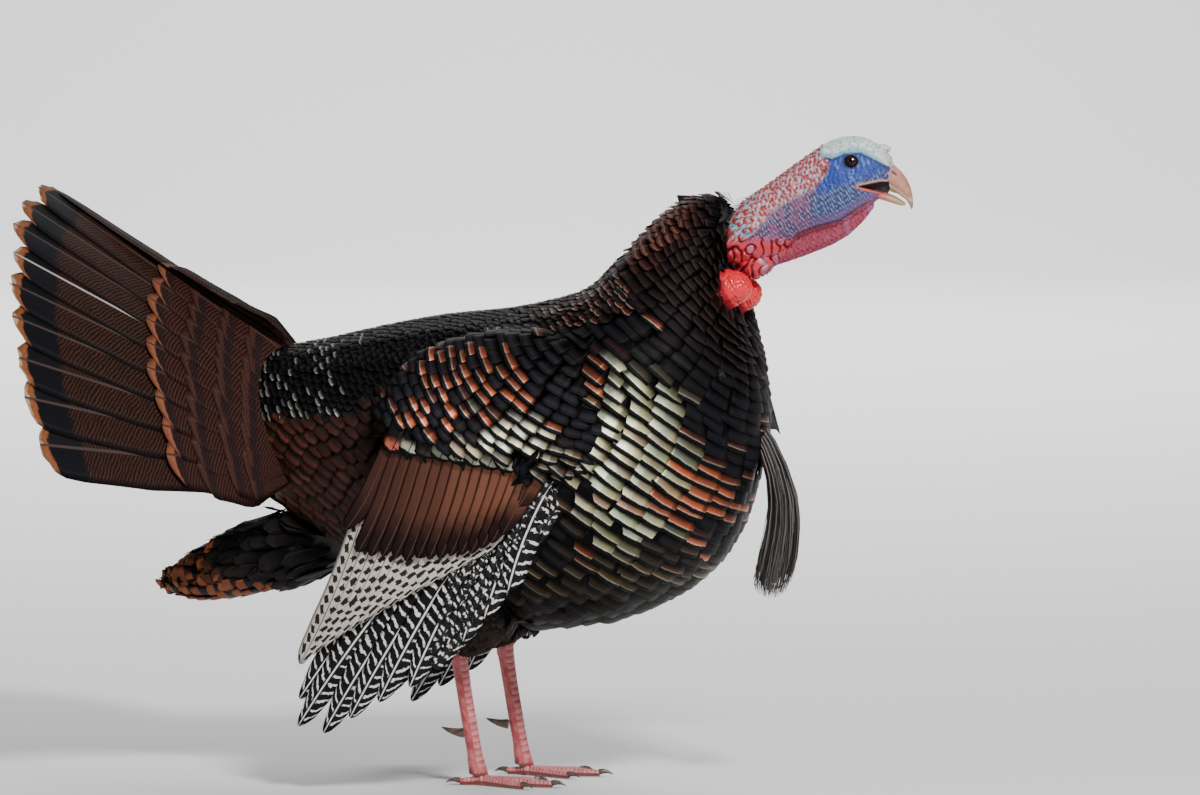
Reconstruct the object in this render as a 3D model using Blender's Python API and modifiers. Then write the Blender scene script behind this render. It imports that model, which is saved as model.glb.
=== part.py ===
"""Wild turkey: a grown tom standing with his tail half raised and his wings drooped.

Life size, in metres. +X is forward, +Y is the bird's left, +Z is up, and the feet stand on z = 0.
The surfaces are the outer form of the plumage, out to the tips of the feathers.
Sections are written from the bird's own mid point over the feet; ORIGIN_X moves them to the frame.
"""
import math

import bmesh
import bpy
import numpy as np
from mathutils import Vector

# Driving dimensions, in metres and degrees
GAP = 0.0003                 # space between neighbouring pieces
BODY_SIDES = 20              # facets round the trunk
ORIGIN_X = -0.0105           # middle of the bird's whole length, from the point over the feet
EYE_RADIUS = 0.0085
EYE_CENTRE = (0.4290, 0.0145, 0.6990)
STANCE = 0.055               # half the distance between the feet
HOCK_HEIGHT = 0.158
TAIL_ROOT = (-0.197, 0.0, 0.462)
TAIL_ROOT_REACH = (0.066, -0.116)  # from the middle feather's root to the outermost's: y, z
TAIL_ELEVATION = 33.5        # the middle feather above level
TAIL_SPREAD = 58.0           # the outermost feather from the middle one
TAIL_DROOP = 18.0            # the outermost feather's side, below level
TAIL_DROOP_POWER = 1.38
TAIL_LENGTH = (0.384, 0.340)  # the middle feather and the outermost
COVERT_LENGTH = (0.215, 0.150)
FEATHERS_A_SIDE = 9
TAIL_THICK = 0.0022
TAIL_START = 0.020           # where the fan's sheet begins, out from its root
STRIDE = 0.024               # how far the left foot stands ahead of the right
SIDES = ((1, "L"), (-1, "R"))

# Sections of the body: top x and z, bottom x and z, half width.
BODY = (
    (-0.262, 0.456, -0.250, 0.330, 0.040),
    (-0.241, 0.483, -0.224, 0.305, 0.078),
    (-0.176, 0.497, -0.171, 0.268, 0.112),
    (-0.106, 0.513, -0.106, 0.237, 0.138),
    (-0.036, 0.526, -0.048, 0.202, 0.158),
    (0.034, 0.533, 0.022, 0.181, 0.170),
    (0.092, 0.545, 0.104, 0.174, 0.173),
    (0.133, 0.559, 0.208, 0.201, 0.168),
    (0.164, 0.590, 0.279, 0.254, 0.152),
    (0.190, 0.612, 0.316, 0.333, 0.124),
    (0.217, 0.639, 0.331, 0.416, 0.096),
    (0.242, 0.654, 0.313, 0.494, 0.074),
    (0.267, 0.660, 0.297, 0.539, 0.059),
    (0.291, 0.655, 0.285, 0.578, 0.047),
)
TRUNK_ROWS = 12              # the sections that belong to the trunk; the rest are the ruff
BARE_NECK = (
    (0.292, 0.640, 0.286, 0.586, 0.033),
    (0.308, 0.658, 0.306, 0.584, 0.034),
    (0.324, 0.668, 0.333, 0.592, 0.032),
    (0.344, 0.683, 0.357, 0.609, 0.030),
    (0.367, 0.699, 0.383, 0.620, 0.029),
    (0.385, 0.712, 0.410, 0.627, 0.028),
)
HEAD = (
    (0.385, 0.712, 0.410, 0.627, 0.028),
    (0.399, 0.720, 0.426, 0.636, 0.0275),
    (0.415, 0.7255, 0.440, 0.644, 0.0255),
    (0.432, 0.7265, 0.450, 0.653, 0.0220),
    (0.446, 0.7225, 0.458, 0.658, 0.0170),
    (0.460, 0.714, 0.464, 0.661, 0.0130),
    (0.470, 0.703, 0.469, 0.668, 0.0095),
)
UPPER_BILL = (
    (0.462, 0.702, 0.456, 0.675, 0.0115),
    (0.469, 0.698, 0.463, 0.671, 0.0112),
    (0.477, 0.6925, 0.471, 0.667, 0.0100),
    (0.485, 0.684, 0.479, 0.662, 0.0082),
    (0.491, 0.674, 0.485, 0.658, 0.0060),
    (0.4945, 0.661, 0.490, 0.653, 0.0036),
    (0.4950, 0.649, 0.4925, 0.646, 0.0016),
)
LOWER_BILL = (
    (0.455, 0.6675, 0.457, 0.657, 0.0100),
    (0.463, 0.6650, 0.464, 0.655, 0.0097),
    (0.471, 0.6625, 0.471, 0.653, 0.0082),
    (0.479, 0.6585, 0.4785, 0.6505, 0.0058),
    (0.4860, 0.6535, 0.4855, 0.6500, 0.0026),
)
TONGUE = (
    (0.457, 0.6705, 0.457, 0.6685, 0.0045),
    (0.467, 0.6690, 0.467, 0.6665, 0.0045),
    (0.476, 0.6655, 0.476, 0.6635, 0.0032),
    (0.4805, 0.6635, 0.4805, 0.6620, 0.0014),
)
SNOOD = (
    (0.4550, 0.7180, 0.4560, 0.7090, 0.0045),
    (0.4620, 0.7185, 0.4615, 0.7095, 0.0046),
    (0.4675, 0.7165, 0.4660, 0.7095, 0.0036),
    (0.4700, 0.7140, 0.4690, 0.7110, 0.0016),
)
# The thin flap of skin under the chin and throat
DEWLAP = (
    (0.338, 0.604, 0.337, 0.582, 0.0040),
    (0.355, 0.614, 0.354, 0.587, 0.0060),
    (0.374, 0.624, 0.375, 0.5945, 0.0065),
    (0.395, 0.630, 0.396, 0.603, 0.0065),
    (0.414, 0.637, 0.416, 0.6120, 0.0060),
    (0.434, 0.650, 0.437, 0.6300, 0.0050),
    (0.449, 0.660, 0.451, 0.6480, 0.0030),
)
BEARD = (
    (0.312, 0.430, 0.296, 0.398, 0.011),
    (0.339, 0.403, 0.316, 0.374, 0.014),
    (0.357, 0.367, 0.325, 0.342, 0.018),
    (0.369, 0.330, 0.3275, 0.314, 0.020),
    (0.371, 0.296, 0.325, 0.286, 0.020),
    (0.367, 0.260, 0.318, 0.252, 0.018),
    (0.359, 0.232, 0.314, 0.228, 0.013),
    (0.346, 0.211, 0.329, 0.2105, 0.006),
)
UNDER_TAIL = (
    (-0.170, 0.330, -0.140, 0.245, 0.060),
    (-0.205, 0.318, -0.170, 0.232, 0.068),
    (-0.255, 0.292, -0.225, 0.214, 0.066),
    (-0.310, 0.266, -0.290, 0.202, 0.052),
    (-0.350, 0.243, -0.335, 0.197, 0.034),
    (-0.366, 0.228, -0.358, 0.208, 0.014),
)
# One feathered leg above the hock: the same five values, and the middle's distance to the side
THIGH = (
    (-0.020, 0.262, 0.105, 0.240, 0.048, 0.070),
    (-0.016, 0.225, 0.090, 0.215, 0.043, 0.066),
    (-0.016, 0.190, 0.066, 0.184, 0.034, 0.061),
    (-0.016, 0.166, 0.038, 0.163, 0.024, 0.057),
    (-0.011, 0.150, 0.016, 0.149, 0.0145, 0.055),
)
# Fleshy lobes at the foot of the bare neck: centre, radii along the axes
WATTLES = {
    "wattle_R": ((0.2890, -0.0340, 0.5570), (0.0265, 0.0200, 0.0195)),
    "wattle_L": ((0.2980, 0.0185, 0.5490), (0.0160, 0.0170, 0.0170)),
    "caruncles": ((0.3170, -0.0020, 0.5850), (0.0200, 0.0180, 0.0150)),
}

# Panels of one wing, from the body outward: layer, thickness, crown, outline of x and z
WING_LAYER = 0.0064
SHOULDER_FREE = 0.412        # above this height no other panel lies under the shoulder
SHOULDER_BLEND = 0.020
SHOULDER_DEPTH = 0.060       # how far in the shoulder goes, to be cut back by the trunk
WING_PANELS = {
    "wing_primaries": (0, 0.0036, 0.0012, (
        (0.168, 0.400), (0.160, 0.350), (0.112, 0.287), (0.074, 0.222), (0.044, 0.190),
        (0.010, 0.150), (-0.037, 0.120), (-0.090, 0.105), (-0.125, 0.066), (-0.165, 0.068),
        (-0.166, 0.110), (-0.130, 0.170), (-0.060, 0.230), (0.020, 0.300), (0.090, 0.390))),
    "wing_secondaries": (1, 0.0036, 0.0012, (
        (0.050, 0.340), (0.045, 0.280), (0.008, 0.258), (-0.038, 0.222), (-0.100, 0.176),
        (-0.164, 0.140), (-0.160, 0.182), (-0.138, 0.236), (-0.108, 0.292), (-0.090, 0.335),
        (-0.040, 0.360))),
    "wing_bronze": (2, 0.0036, 0.0012, (
        (0.118, 0.385), (0.107, 0.345), (0.070, 0.286), (0.032, 0.268), (-0.010, 0.264),
        (-0.060, 0.274), (-0.088, 0.296), (-0.082, 0.330), (-0.064, 0.374), (0.000, 0.400))),
    "wing_shoulder": (3, 0.0060, 0.0100, (
        (0.172, 0.440), (0.164, 0.382), (0.118, 0.352), (0.050, 0.362), (-0.030, 0.366),
        (-0.068, 0.392), (-0.058, 0.446), (-0.030, 0.484), (0.030, 0.508), (0.110, 0.512),
        (0.158, 0.494))),
}

# Toes: name, direction from straight ahead (outward positive), length to the claw, half width
TOES = (
    ("toe_outer", 30.0, 0.066, 0.0068),
    ("toe_middle", 4.0, 0.086, 0.0075),
    ("toe_inner", -26.0, 0.064, 0.0068),
    ("toe_hind", 172.0, 0.032, 0.0052),
)
FOOT_X = 0.030               # where the toes meet
TOE_HEIGHT = 0.0125
CLAW_LENGTH = 0.017

COLOURS = {
    "plumage": ((0.045, 0.030, 0.020), 0.45),
    "bronze_plumage": ((0.160, 0.062, 0.028), 0.42),
    "barred_plumage": ((0.300, 0.270, 0.230), 0.55),
    "bare_skin": ((0.300, 0.330, 0.560), 0.45),
    "wattle_skin": ((0.640, 0.035, 0.050), 0.30),
    "bill_horn": ((0.560, 0.380, 0.280), 0.35),
    "tongue_skin": ((0.480, 0.400, 0.160), 0.40),
    "eye_glass": ((0.020, 0.011, 0.008), 0.05),
    "beard_bristle": ((0.030, 0.027, 0.025), 0.50),
    "leg_scale": ((0.600, 0.210, 0.190), 0.45),
    "claw_horn": ((0.120, 0.075, 0.055), 0.35),
}


def clear_scene():
    """Remove every object, so that the script starts from nothing."""
    for old in list(bpy.data.objects):
        bpy.data.objects.remove(old, do_unlink=True)


def make_collection(name):
    """A new collection in the scene."""
    made = bpy.data.collections.new(name)
    bpy.context.scene.collection.children.link(made)
    return made


def make_materials():
    """One Principled material for each finish."""
    made = {}
    for name, (colour, roughness) in COLOURS.items():
        material = bpy.data.materials.new(name)
        material.use_nodes = True
        shader = material.node_tree.nodes["Principled BSDF"]
        shader.inputs["Base Color"].default_value = (*colour, 1.0)
        shader.inputs["Roughness"].default_value = roughness
        material.diffuse_color = (*colour, 1.0)
        made[name] = material
    return made


def add_node(name, shape, material):
    """Put a bmesh in the scene as a named piece, moved to the frame's origin."""
    bmesh.ops.translate(shape, verts=shape.verts, vec=(-ORIGIN_X, 0.0, 0.0))
    bmesh.ops.triangulate(shape, faces=shape.faces)
    bmesh.ops.recalc_face_normals(shape, faces=shape.faces)
    mesh = bpy.data.meshes.new(name)
    shape.to_mesh(mesh)
    shape.free()
    mesh.materials.append(MATERIALS[material])
    mesh.shade_smooth()
    piece = bpy.data.objects.new(name, mesh)
    PARTS.objects.link(piece)
    return piece


def smooth_rows(rows, count):
    """Rows of numbers read at even steps from a smooth curve through the given ones."""
    keys = np.array(rows, dtype=float)
    last = len(keys) - 1
    out = []
    for place in np.linspace(0.0, last, count):
        i = min(int(place), last - 1)
        t = place - i
        p0 = keys[max(i - 1, 0)]
        p1 = keys[i]
        p2 = keys[i + 1]
        p3 = keys[min(i + 2, last)]
        out.append(0.5 * (2 * p1 + (p2 - p0) * t + (2 * p0 - 5 * p1 + 4 * p2 - p3) * t * t
                          + (3 * p1 - p0 - 3 * p2 + p3) * t ** 3))
    return out


def section_ring(row, sides, power, side_offset=0.0):
    """Points round one section, a superellipse in the plane of its chord and the Y axis."""
    top = Vector((row[0], side_offset, row[1]))
    bottom = Vector((row[2], side_offset, row[3]))
    middle = (top + bottom) / 2
    up = (top - bottom) / 2
    ring = []
    for k in range(sides):
        turn = 2 * math.pi * (k + 0.5) / sides
        across = math.copysign(abs(math.cos(turn)) ** (2 / power), math.cos(turn))
        along = math.copysign(abs(math.sin(turn)) ** (2 / power), math.sin(turn))
        ring.append(middle + Vector((0.0, row[4] * across, 0.0)) + up * along)
    return ring


def loft(rings, crowns=(0.0, 0.0)):
    """A closed skin over rings of points; crowns bulge the ends by those shares of their size."""
    shape = bmesh.new()
    made = [[shape.verts.new(point) for point in ring] for ring in rings]
    for first, second in zip(made, made[1:]):
        for k in range(len(first)):
            n = (k + 1) % len(first)
            shape.faces.new((first[k], first[n], second[n], second[k]))
    for end, inner, crown in ((0, 1, crowns[0]), (-1, -2, crowns[1])):
        ring = rings[end]
        middle = sum(ring, Vector()) / len(ring)
        inside = sum(rings[inner], Vector()) / len(ring)
        reach = (ring[0] - middle).length * crown
        tip = shape.verts.new(middle + (middle - inside).normalized() * reach)
        for k in range(len(ring)):
            shape.faces.new((made[end][k], made[end][(k + 1) % len(ring)], tip))
    return shape


def body_form(name, rows, count, sides, material, power=2.0, crowns=(0.0, 0.0)):
    """A piece of the body lofted over smooth sections."""
    rings = [section_ring(row, sides, power) for row in smooth_rows(rows, count)]
    return add_node(name, loft(rings, crowns), material)


def make_body():
    """Trunk and ruff: one form, parted by a thin cut across the foot of the neck."""
    rows = smooth_rows(BODY, 2 * len(BODY) - 1)
    cut = 2 * (TRUNK_ROWS - 1)
    trunk = [section_ring(row, BODY_SIDES, 2.0) for row in rows[:cut + 1]]
    add_node("trunk", loft(trunk, (0.15, 0.0)), "plumage")
    ruff = [section_ring(row, BODY_SIDES, 2.0) for row in rows[cut:]]
    normal = (ruff[0][BODY_SIDES // 4] - ruff[0][3 * BODY_SIDES // 4]).cross(Vector((0.0, 1.0, 0.0))).normalized()
    if normal.x < 0:
        normal = -normal
    ruff[0] = [point + normal * GAP for point in ruff[0]]
    add_node("neck_ruff", loft(ruff), "plumage")


def make_head():
    """Bare neck, head, bill, tongue, snood, dewlap, wattles and eyes."""
    body_form("neck_bare", BARE_NECK, 7, 16, "bare_skin", 2.2)
    body_form("head", HEAD, 10, 16, "bare_skin", 2.2, (0.0, 0.3))
    body_form("bill_upper", UPPER_BILL, 8, 12, "bill_horn", 2.0, (0.0, 0.4))
    body_form("bill_lower", LOWER_BILL, 6, 10, "bill_horn", 2.0, (0.0, 0.4))
    body_form("tongue", TONGUE, 5, 8, "tongue_skin", 2.0, (0.0, 0.3))
    body_form("snood", SNOOD, 5, 8, "wattle_skin", 2.0, (0.0, 0.6))
    body_form("dewlap", DEWLAP, 8, 6, "wattle_skin", 2.0, (0.3, 0.3))
    body_form("beard", BEARD, 10, 12, "beard_bristle", 2.2, (0.0, 0.2))
    for name, (centre, radii) in WATTLES.items():
        shape = bmesh.new()
        bmesh.ops.create_uvsphere(shape, u_segments=12, v_segments=8, radius=1.0)
        bmesh.ops.scale(shape, vec=radii, verts=shape.verts)
        bmesh.ops.translate(shape, vec=centre, verts=shape.verts)
        add_node(name, shape, "wattle_skin")
    for sign, side in SIDES:
        shape = bmesh.new()
        bmesh.ops.create_uvsphere(shape, u_segments=12, v_segments=6, radius=EYE_RADIUS)
        centre = (EYE_CENTRE[0], sign * EYE_CENTRE[1], EYE_CENTRE[2])
        bmesh.ops.translate(shape, vec=centre, verts=shape.verts)
        add_node("eye_" + side, shape, "eye_glass")


def wing_side(x, z):
    """How far the folded wing's inner face stands from the middle of the body."""
    rise = max(z - 0.34, 0.0) / 0.215
    width = 0.176 * math.sqrt(max(1.0 - rise * rise, 0.05))
    width += 0.012 * max(0.30 - z, 0.0) / 0.20
    width -= 0.020 * (max(x - 0.03, 0.0) / 0.14) ** 2
    width -= 0.020 * (max(-x - 0.02, 0.0) / 0.14) ** 2
    return width


def make_wing(sign, side):
    """The drooped wing: four overlapping panels, each a thin crowned pad over the body's side."""
    rings = (1.0, 0.60)
    for name, (layer, thick, crown, outline) in WING_PANELS.items():
        closed = list(outline) + [outline[0]]
        edge = [Vector((p[0], p[1])) for p in smooth_rows(closed, 3 * len(outline) // 2 + 1)[:-1]]
        middle = sum(edge, Vector((0.0, 0.0))) / len(edge)
        shape = bmesh.new()
        faces = []
        for outer in (False, True):
            sheet = []
            for share in (*rings, 0.0):
                points = edge if share else edge[:1]
                row = []
                for point in points:
                    x, z = middle + (point - middle) * share
                    y = wing_side(x, z) + layer * WING_LAYER
                    if outer:
                        y += thick * (1.0 if share < 1.0 else 0.45) + crown * (1 - share ** 2)
                    elif name == "wing_shoulder":
                        above = (z - SHOULDER_FREE) / SHOULDER_BLEND
                        y -= SHOULDER_DEPTH * min(max(above, 0.0), 1.0)
                    row.append(shape.verts.new((x, sign * y, z)))
                sheet.append(row)
            faces.append(sheet)
        count = len(edge)
        for sheet in faces:
            for first, second in zip(sheet, sheet[1:]):
                for k in range(count):
                    n = (k + 1) % count
                    if len(second) == 1:
                        shape.faces.new((first[k], first[n], second[0]))
                    else:
                        shape.faces.new((first[k], first[n], second[n], second[k]))
        for k in range(count):
            n = (k + 1) % count
            shape.faces.new((faces[0][0][k], faces[0][0][n], faces[1][0][n], faces[1][0][k]))
        colour = "plumage"
        if name == "wing_bronze":
            colour = "bronze_plumage"
        elif name in ("wing_primaries", "wing_secondaries"):
            colour = "barred_plumage"
        add_node(name + "_" + side, shape, colour)


def tail_point(turn, reach, sign, apart):
    """A point of the fan: turn runs 0 to 1 from the middle feather out, reach from the root."""
    elevation = math.radians(TAIL_ELEVATION)
    back = Vector((-math.cos(elevation), 0.0, math.sin(elevation)))
    above = Vector((math.sin(elevation), 0.0, math.cos(elevation)))
    droop = math.radians(TAIL_DROOP) * max(turn, 0.0) ** TAIL_DROOP_POWER
    side = Vector((0.0, sign * math.cos(droop), 0.0)) - above * math.sin(droop)
    spread = math.radians(TAIL_SPREAD) * turn
    root = Vector(TAIL_ROOT)
    root.y += sign * (TAIL_ROOT_REACH[0] * turn + apart)
    root.z += TAIL_ROOT_REACH[1] * turn
    return root + (back * math.cos(spread) + side * math.sin(spread)) * reach


def tail_face(turn, reach, sign):
    """The fan's upward normal at a point."""
    step = 0.01
    along = tail_point(turn, reach + step, sign, 0.0) - tail_point(turn, reach - step, sign, 0.0)
    across = tail_point(turn + step, reach, sign, 0.0) - tail_point(turn - step, reach, sign, 0.0)
    normal = along.cross(across).normalized()
    return normal if normal.z > 0 else -normal


def fan_sheet(name, sign, lengths, split, rows, steps, lift, thick, material):
    """Half a fan as one sheet with a rounded tip for each feather, parted beyond the split."""
    shape = bmesh.new()
    count = FEATHERS_A_SIDE
    apart = GAP + (thick + lift) * 0.6
    for feather in range(count):
        parted = split[0] + (split[1] - split[0]) * ((feather + 0.5) / count) ** 2
        grid = []
        for row in range(rows + 1):
            v = (row / rows) ** 0.8
            line = []
            for column in range(steps + 1):
                u = column / steps
                whole = (feather + u) / count
                length = lengths[0] + (lengths[1] - lengths[0]) * whole ** 2
                tip = length * (1.0 - 0.075 * abs(2 * u - 1) ** 2.5)
                reach = TAIL_START + (tip - TAIL_START) * v
                narrow = 1.0 - 0.45 * max(v - parted, 0.0)
                turn = (feather + 0.5 + (u - 0.5) * narrow) / count
                point = tail_point(turn, reach, sign, apart)
                line.append(shape.verts.new(point + tail_face(turn, reach, sign) * lift))
            grid.append(line)
        for low, high in zip(grid, grid[1:]):
            for c in range(steps):
                shape.faces.new((low[c], low[c + 1], high[c + 1], high[c]))
    bmesh.ops.remove_doubles(shape, verts=shape.verts, dist=0.0001)
    piece = add_node(name, shape, material)
    solid = piece.modifiers.new("thickness", 'SOLIDIFY')
    solid.thickness = thick
    solid.offset = 0.0
    bake(piece)
    solid_form = bmesh.new()
    solid_form.from_mesh(piece.data)
    bmesh.ops.recalc_face_normals(solid_form, faces=solid_form.faces)
    solid_form.to_mesh(piece.data)
    solid_form.free()


def make_tail():
    """The half-raised fan, the coverts over its root and those under it."""
    for sign, side in SIDES:
        fan_sheet("tail_" + side, sign, TAIL_LENGTH, (0.95, 0.50), 3, 3, 0.0,
                  TAIL_THICK, "barred_plumage")
        fan_sheet("tail_coverts_" + side, sign, COVERT_LENGTH, (1.0, 1.0), 2, 2, 0.0048,
                  0.0050, "bronze_plumage")
    body_form("under_tail", UNDER_TAIL, 7, 14, "plumage", 2.0, (0.0, 0.3))


def make_leg(sign, side):
    """One leg: feathered thigh, scaled shank with its spur, and three toes and the hind toe."""
    rings = []
    for row in smooth_rows(THIGH, 6):
        rings.append(section_ring(row, 12, 2.0, sign * row[5]))
    add_node("thigh_" + side, loft(rings, (0.0, 0.2)), "plumage")
    shank = []
    lead = sign * STRIDE / 2
    for k in range(7):
        t = k / 6
        height = HOCK_HEIGHT + (TOE_HEIGHT - HOCK_HEIGHT) * t
        middle = Vector((lead + (FOOT_X - 0.006) * t ** 1.15, sign * STANCE, height))
        swell = 1.0 + 0.22 * max(1.0 - t * 4, 0.0) + 0.30 * max(t * 6 - 5, 0.0)
        ring = []
        for n in range(10):
            turn = 2 * math.pi * n / 10
            ring.append(middle + Vector((0.0088 * swell * math.cos(turn),
                                         0.0074 * swell * math.sin(turn), 0.0)))
        shank.append(ring)
    add_node("shank_" + side, loft(shank, (0.3, 0.3)), "leg_scale")
    spur = []
    for k in range(5):
        t = k / 4
        middle = Vector((lead + 0.006 - 0.026 * t, sign * (STANCE - 0.003), 0.058 + 0.006 * t * t))
        radius = 0.0052 * (1 - t) ** 0.7 + 0.0006
        spur.append([middle + Vector((0.0, radius * math.cos(a), radius * math.sin(a)))
                     for a in (2 * math.pi * n / 8 for n in range(8))])
    add_node("spur_" + side, loft(spur, (0.0, 0.3)), "claw_horn")
    for name, heading, length, width in TOES:
        make_toe(name, sign, side, heading, length, width)
    join("foot_" + side, [name + "_" + side for name, *_ in TOES])


def make_toe(name, sign, side, heading, length, width):
    """One toe and its claw; the sole is a flat at the floor."""
    turn = math.radians(heading) * sign
    ahead = Vector((math.cos(turn), math.sin(turn), 0.0))
    across = Vector((-ahead.y, ahead.x, 0.0))
    start = Vector((FOOT_X + sign * STRIDE / 2, sign * STANCE, 0.0)) - ahead * 0.005
    toe = []
    for k in range(6):
        t = k / 5
        pads = 1.0 + 0.10 * math.cos(t * 2.5 * 2 * math.pi)
        half = width * (1.0 - 0.35 * t) * pads
        height = (TOE_HEIGHT - 0.0045 * t) * (1.0 - 0.10 * (1 - pads))
        centre = start + ahead * length * t + Vector((0.0, 0.0, height * 0.42))
        ring = []
        for n in range(6):
            a = 2 * math.pi * n / 6
            point = centre + across * half * math.cos(a) + Vector((0.0, 0.0, height * 0.58 * math.sin(a)))
            point.z = max(point.z, 0.0)
            ring.append(point)
        toe.append(ring)
    add_node(name + "_" + side, loft(toe, (0.0, 0.35)), "leg_scale")
    claw = []
    for k in range(4):
        t = k / 3
        centre = start + ahead * (length - 0.001 + CLAW_LENGTH * t)
        centre.z = 0.0050 + 0.0022 * math.sin(t * 2.6) - 0.0032 * t * t
        half = 0.0036 * (1 - t) ** 0.8 + 0.0006
        claw.append([centre + across * half * math.cos(a) + Vector((0.0, 0.0, half * math.sin(a)))
                     for a in (2 * math.pi * n / 6 for n in range(6))])
    add_node(name.replace("toe", "claw") + "_" + side, loft(claw, (0.0, 0.3)), "claw_horn")


def bake(piece):
    """Turn a piece's modifiers into its mesh."""
    graph = bpy.context.evaluated_depsgraph_get()
    mesh = bpy.data.meshes.new_from_object(piece.evaluated_get(graph))
    old = piece.data
    piece.modifiers.clear()
    piece.data = mesh
    bpy.data.meshes.remove(old)


def join(name, pieces):
    """Unite overlapping pieces into one, which takes the new name."""
    first = bpy.data.objects[pieces[0]]
    for other in (bpy.data.objects[piece] for piece in pieces[1:]):
        boolean = first.modifiers.new("join", 'BOOLEAN')
        boolean.operation = 'UNION'
        boolean.solver = 'MANIFOLD'
        boolean.object = other
        bake(first)
        bpy.data.objects.remove(other, do_unlink=True)
    weld(first)
    first.name = name


def weld(piece):
    """Close the hair cracks that a Boolean leaves and make all faces triangles."""
    shape = bmesh.new()
    shape.from_mesh(piece.data)
    bmesh.ops.remove_doubles(shape, verts=shape.verts, dist=0.00005)
    bmesh.ops.triangulate(shape, faces=shape.faces)
    shape.to_mesh(piece.data)
    shape.free()


def carve(name, neighbours):
    """Cut the neighbours, swollen by the gap, out of a piece where they would overlap."""
    piece = bpy.data.objects[name]
    for neighbour in neighbours:
        source = bpy.data.objects[neighbour]
        cutter = bpy.data.objects.new("cut_" + neighbour, source.data.copy())
        CUTTERS.objects.link(cutter)
        cutter.hide_render = True
        cutter.display_type = 'WIRE'
        shape = bmesh.new()
        shape.from_mesh(cutter.data)
        normals = [vert.normal.copy() for vert in shape.verts]
        for vert, normal in zip(shape.verts, normals):
            vert.co += normal * GAP * 1.15
        shape.to_mesh(cutter.data)
        shape.free()
        boolean = piece.modifiers.new("cut", 'BOOLEAN')
        boolean.operation = 'DIFFERENCE'
        boolean.solver = 'EXACT'
        boolean.object = cutter
        bake(piece)
        bpy.data.objects.remove(cutter, do_unlink=True)
    weld(piece)


def carve_all():
    """Part the pieces that share space, the softer one giving way."""
    carve("neck_bare", ("neck_ruff",))
    carve("neck_bare", ("head",))
    carve("head", ("eye_L", "eye_R"))
    carve("bill_upper", ("head",))
    carve("bill_lower", ("head",))
    carve("tongue", ("head", "bill_lower", "bill_upper"))
    carve("snood", ("head", "bill_upper"))
    carve("dewlap", ("neck_bare", "head", "bill_lower"))
    for name in WATTLES:
        carve(name, ("neck_ruff", "trunk", "neck_bare"))
    carve("wattle_L", ("wattle_R",))
    carve("caruncles", ("wattle_R", "wattle_L", "dewlap"))
    carve("beard", ("trunk", "neck_ruff"))
    carve("under_tail", ("trunk",))
    for _, side in SIDES:
        carve("thigh_" + side, ("trunk",))
        carve("shank_" + side, ("thigh_" + side,))
        carve("spur_" + side, ("shank_" + side,))
        carve("tail_coverts_" + side, ("trunk",))
        carve("tail_" + side, ("trunk", "tail_coverts_" + side))
        for panel in WING_PANELS:
            carve(panel + "_" + side, ("trunk", "neck_ruff"))
        under = [panel + "_" + side for panel in WING_PANELS if panel != "wing_shoulder"]
        carve("wing_shoulder_" + side, under)
        carve("foot_" + side, ("shank_" + side,))
        for name, *_ in TOES:
            carve(name.replace("toe", "claw") + "_" + side, ("foot_" + side,))


clear_scene()
MATERIALS = make_materials()
PARTS = make_collection("wild_turkey")
CUTTERS = make_collection("cutters")
make_body()
make_head()
for way, label in SIDES:
    make_wing(way, label)
    make_leg(way, label)
make_tail()
carve_all()
bpy.data.collections.remove(CUTTERS)
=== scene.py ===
"""Looks of the wild turkey: one skin, its feathers as closed vanes, and the horny parts.

Metres. Places are written from the point over the bird's feet, as in part.py: +X is forward,
+Y is the bird's left and +Z is up. ORIGIN_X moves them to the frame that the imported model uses.
"""
import copy
import math

import bmesh
import bpy
import numpy as np
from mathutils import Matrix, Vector
from mathutils.bvhtree import BVHTree
from mathutils.kdtree import KDTree


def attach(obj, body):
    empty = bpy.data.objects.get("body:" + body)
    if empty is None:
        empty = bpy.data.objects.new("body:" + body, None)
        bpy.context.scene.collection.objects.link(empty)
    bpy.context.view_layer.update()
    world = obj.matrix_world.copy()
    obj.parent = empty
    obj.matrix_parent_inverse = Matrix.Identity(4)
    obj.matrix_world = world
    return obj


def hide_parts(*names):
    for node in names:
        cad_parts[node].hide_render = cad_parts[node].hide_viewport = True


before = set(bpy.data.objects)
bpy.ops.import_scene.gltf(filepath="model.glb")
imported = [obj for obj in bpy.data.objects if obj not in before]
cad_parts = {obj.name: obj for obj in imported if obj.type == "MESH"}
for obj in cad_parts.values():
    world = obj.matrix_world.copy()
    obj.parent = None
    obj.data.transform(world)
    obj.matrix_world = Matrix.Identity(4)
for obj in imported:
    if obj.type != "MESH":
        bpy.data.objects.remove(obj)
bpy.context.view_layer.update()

ORIGIN_X = -0.0105           # the frame's origin, from the point over the feet
SHIFT = np.array([-ORIGIN_X, 0.0, 0.0])
SIDES = ((1.0, "L"), (-1.0, "R"))
SEED = 11

# The camera: where it looks, from which side and how far away
AIM = (0.1385, 0.0, 0.4335)
CAMERA_AZIMUTH = 14.0        # degrees from the bird's right side towards its front
CAMERA_HEIGHT = 3.0          # degrees above level
CAMERA_DISTANCE = 7.0
CAMERA_LENS = 187.5
SENSOR = 36.0

rng = np.random.default_rng(SEED)


# ---------------------------------------------------------------- small tools

def unit(vectors):
    """Vectors scaled to length one."""
    return vectors / np.maximum(np.linalg.norm(vectors, axis=-1, keepdims=True), 1e-9)


def ramp(values, low, high):
    """0 below low, 1 above high, smooth between; low may be the greater."""
    t = np.clip((values - low) / (high - low), 0.0, 1.0)
    return t * t * (3.0 - 2.0 * t)


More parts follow.
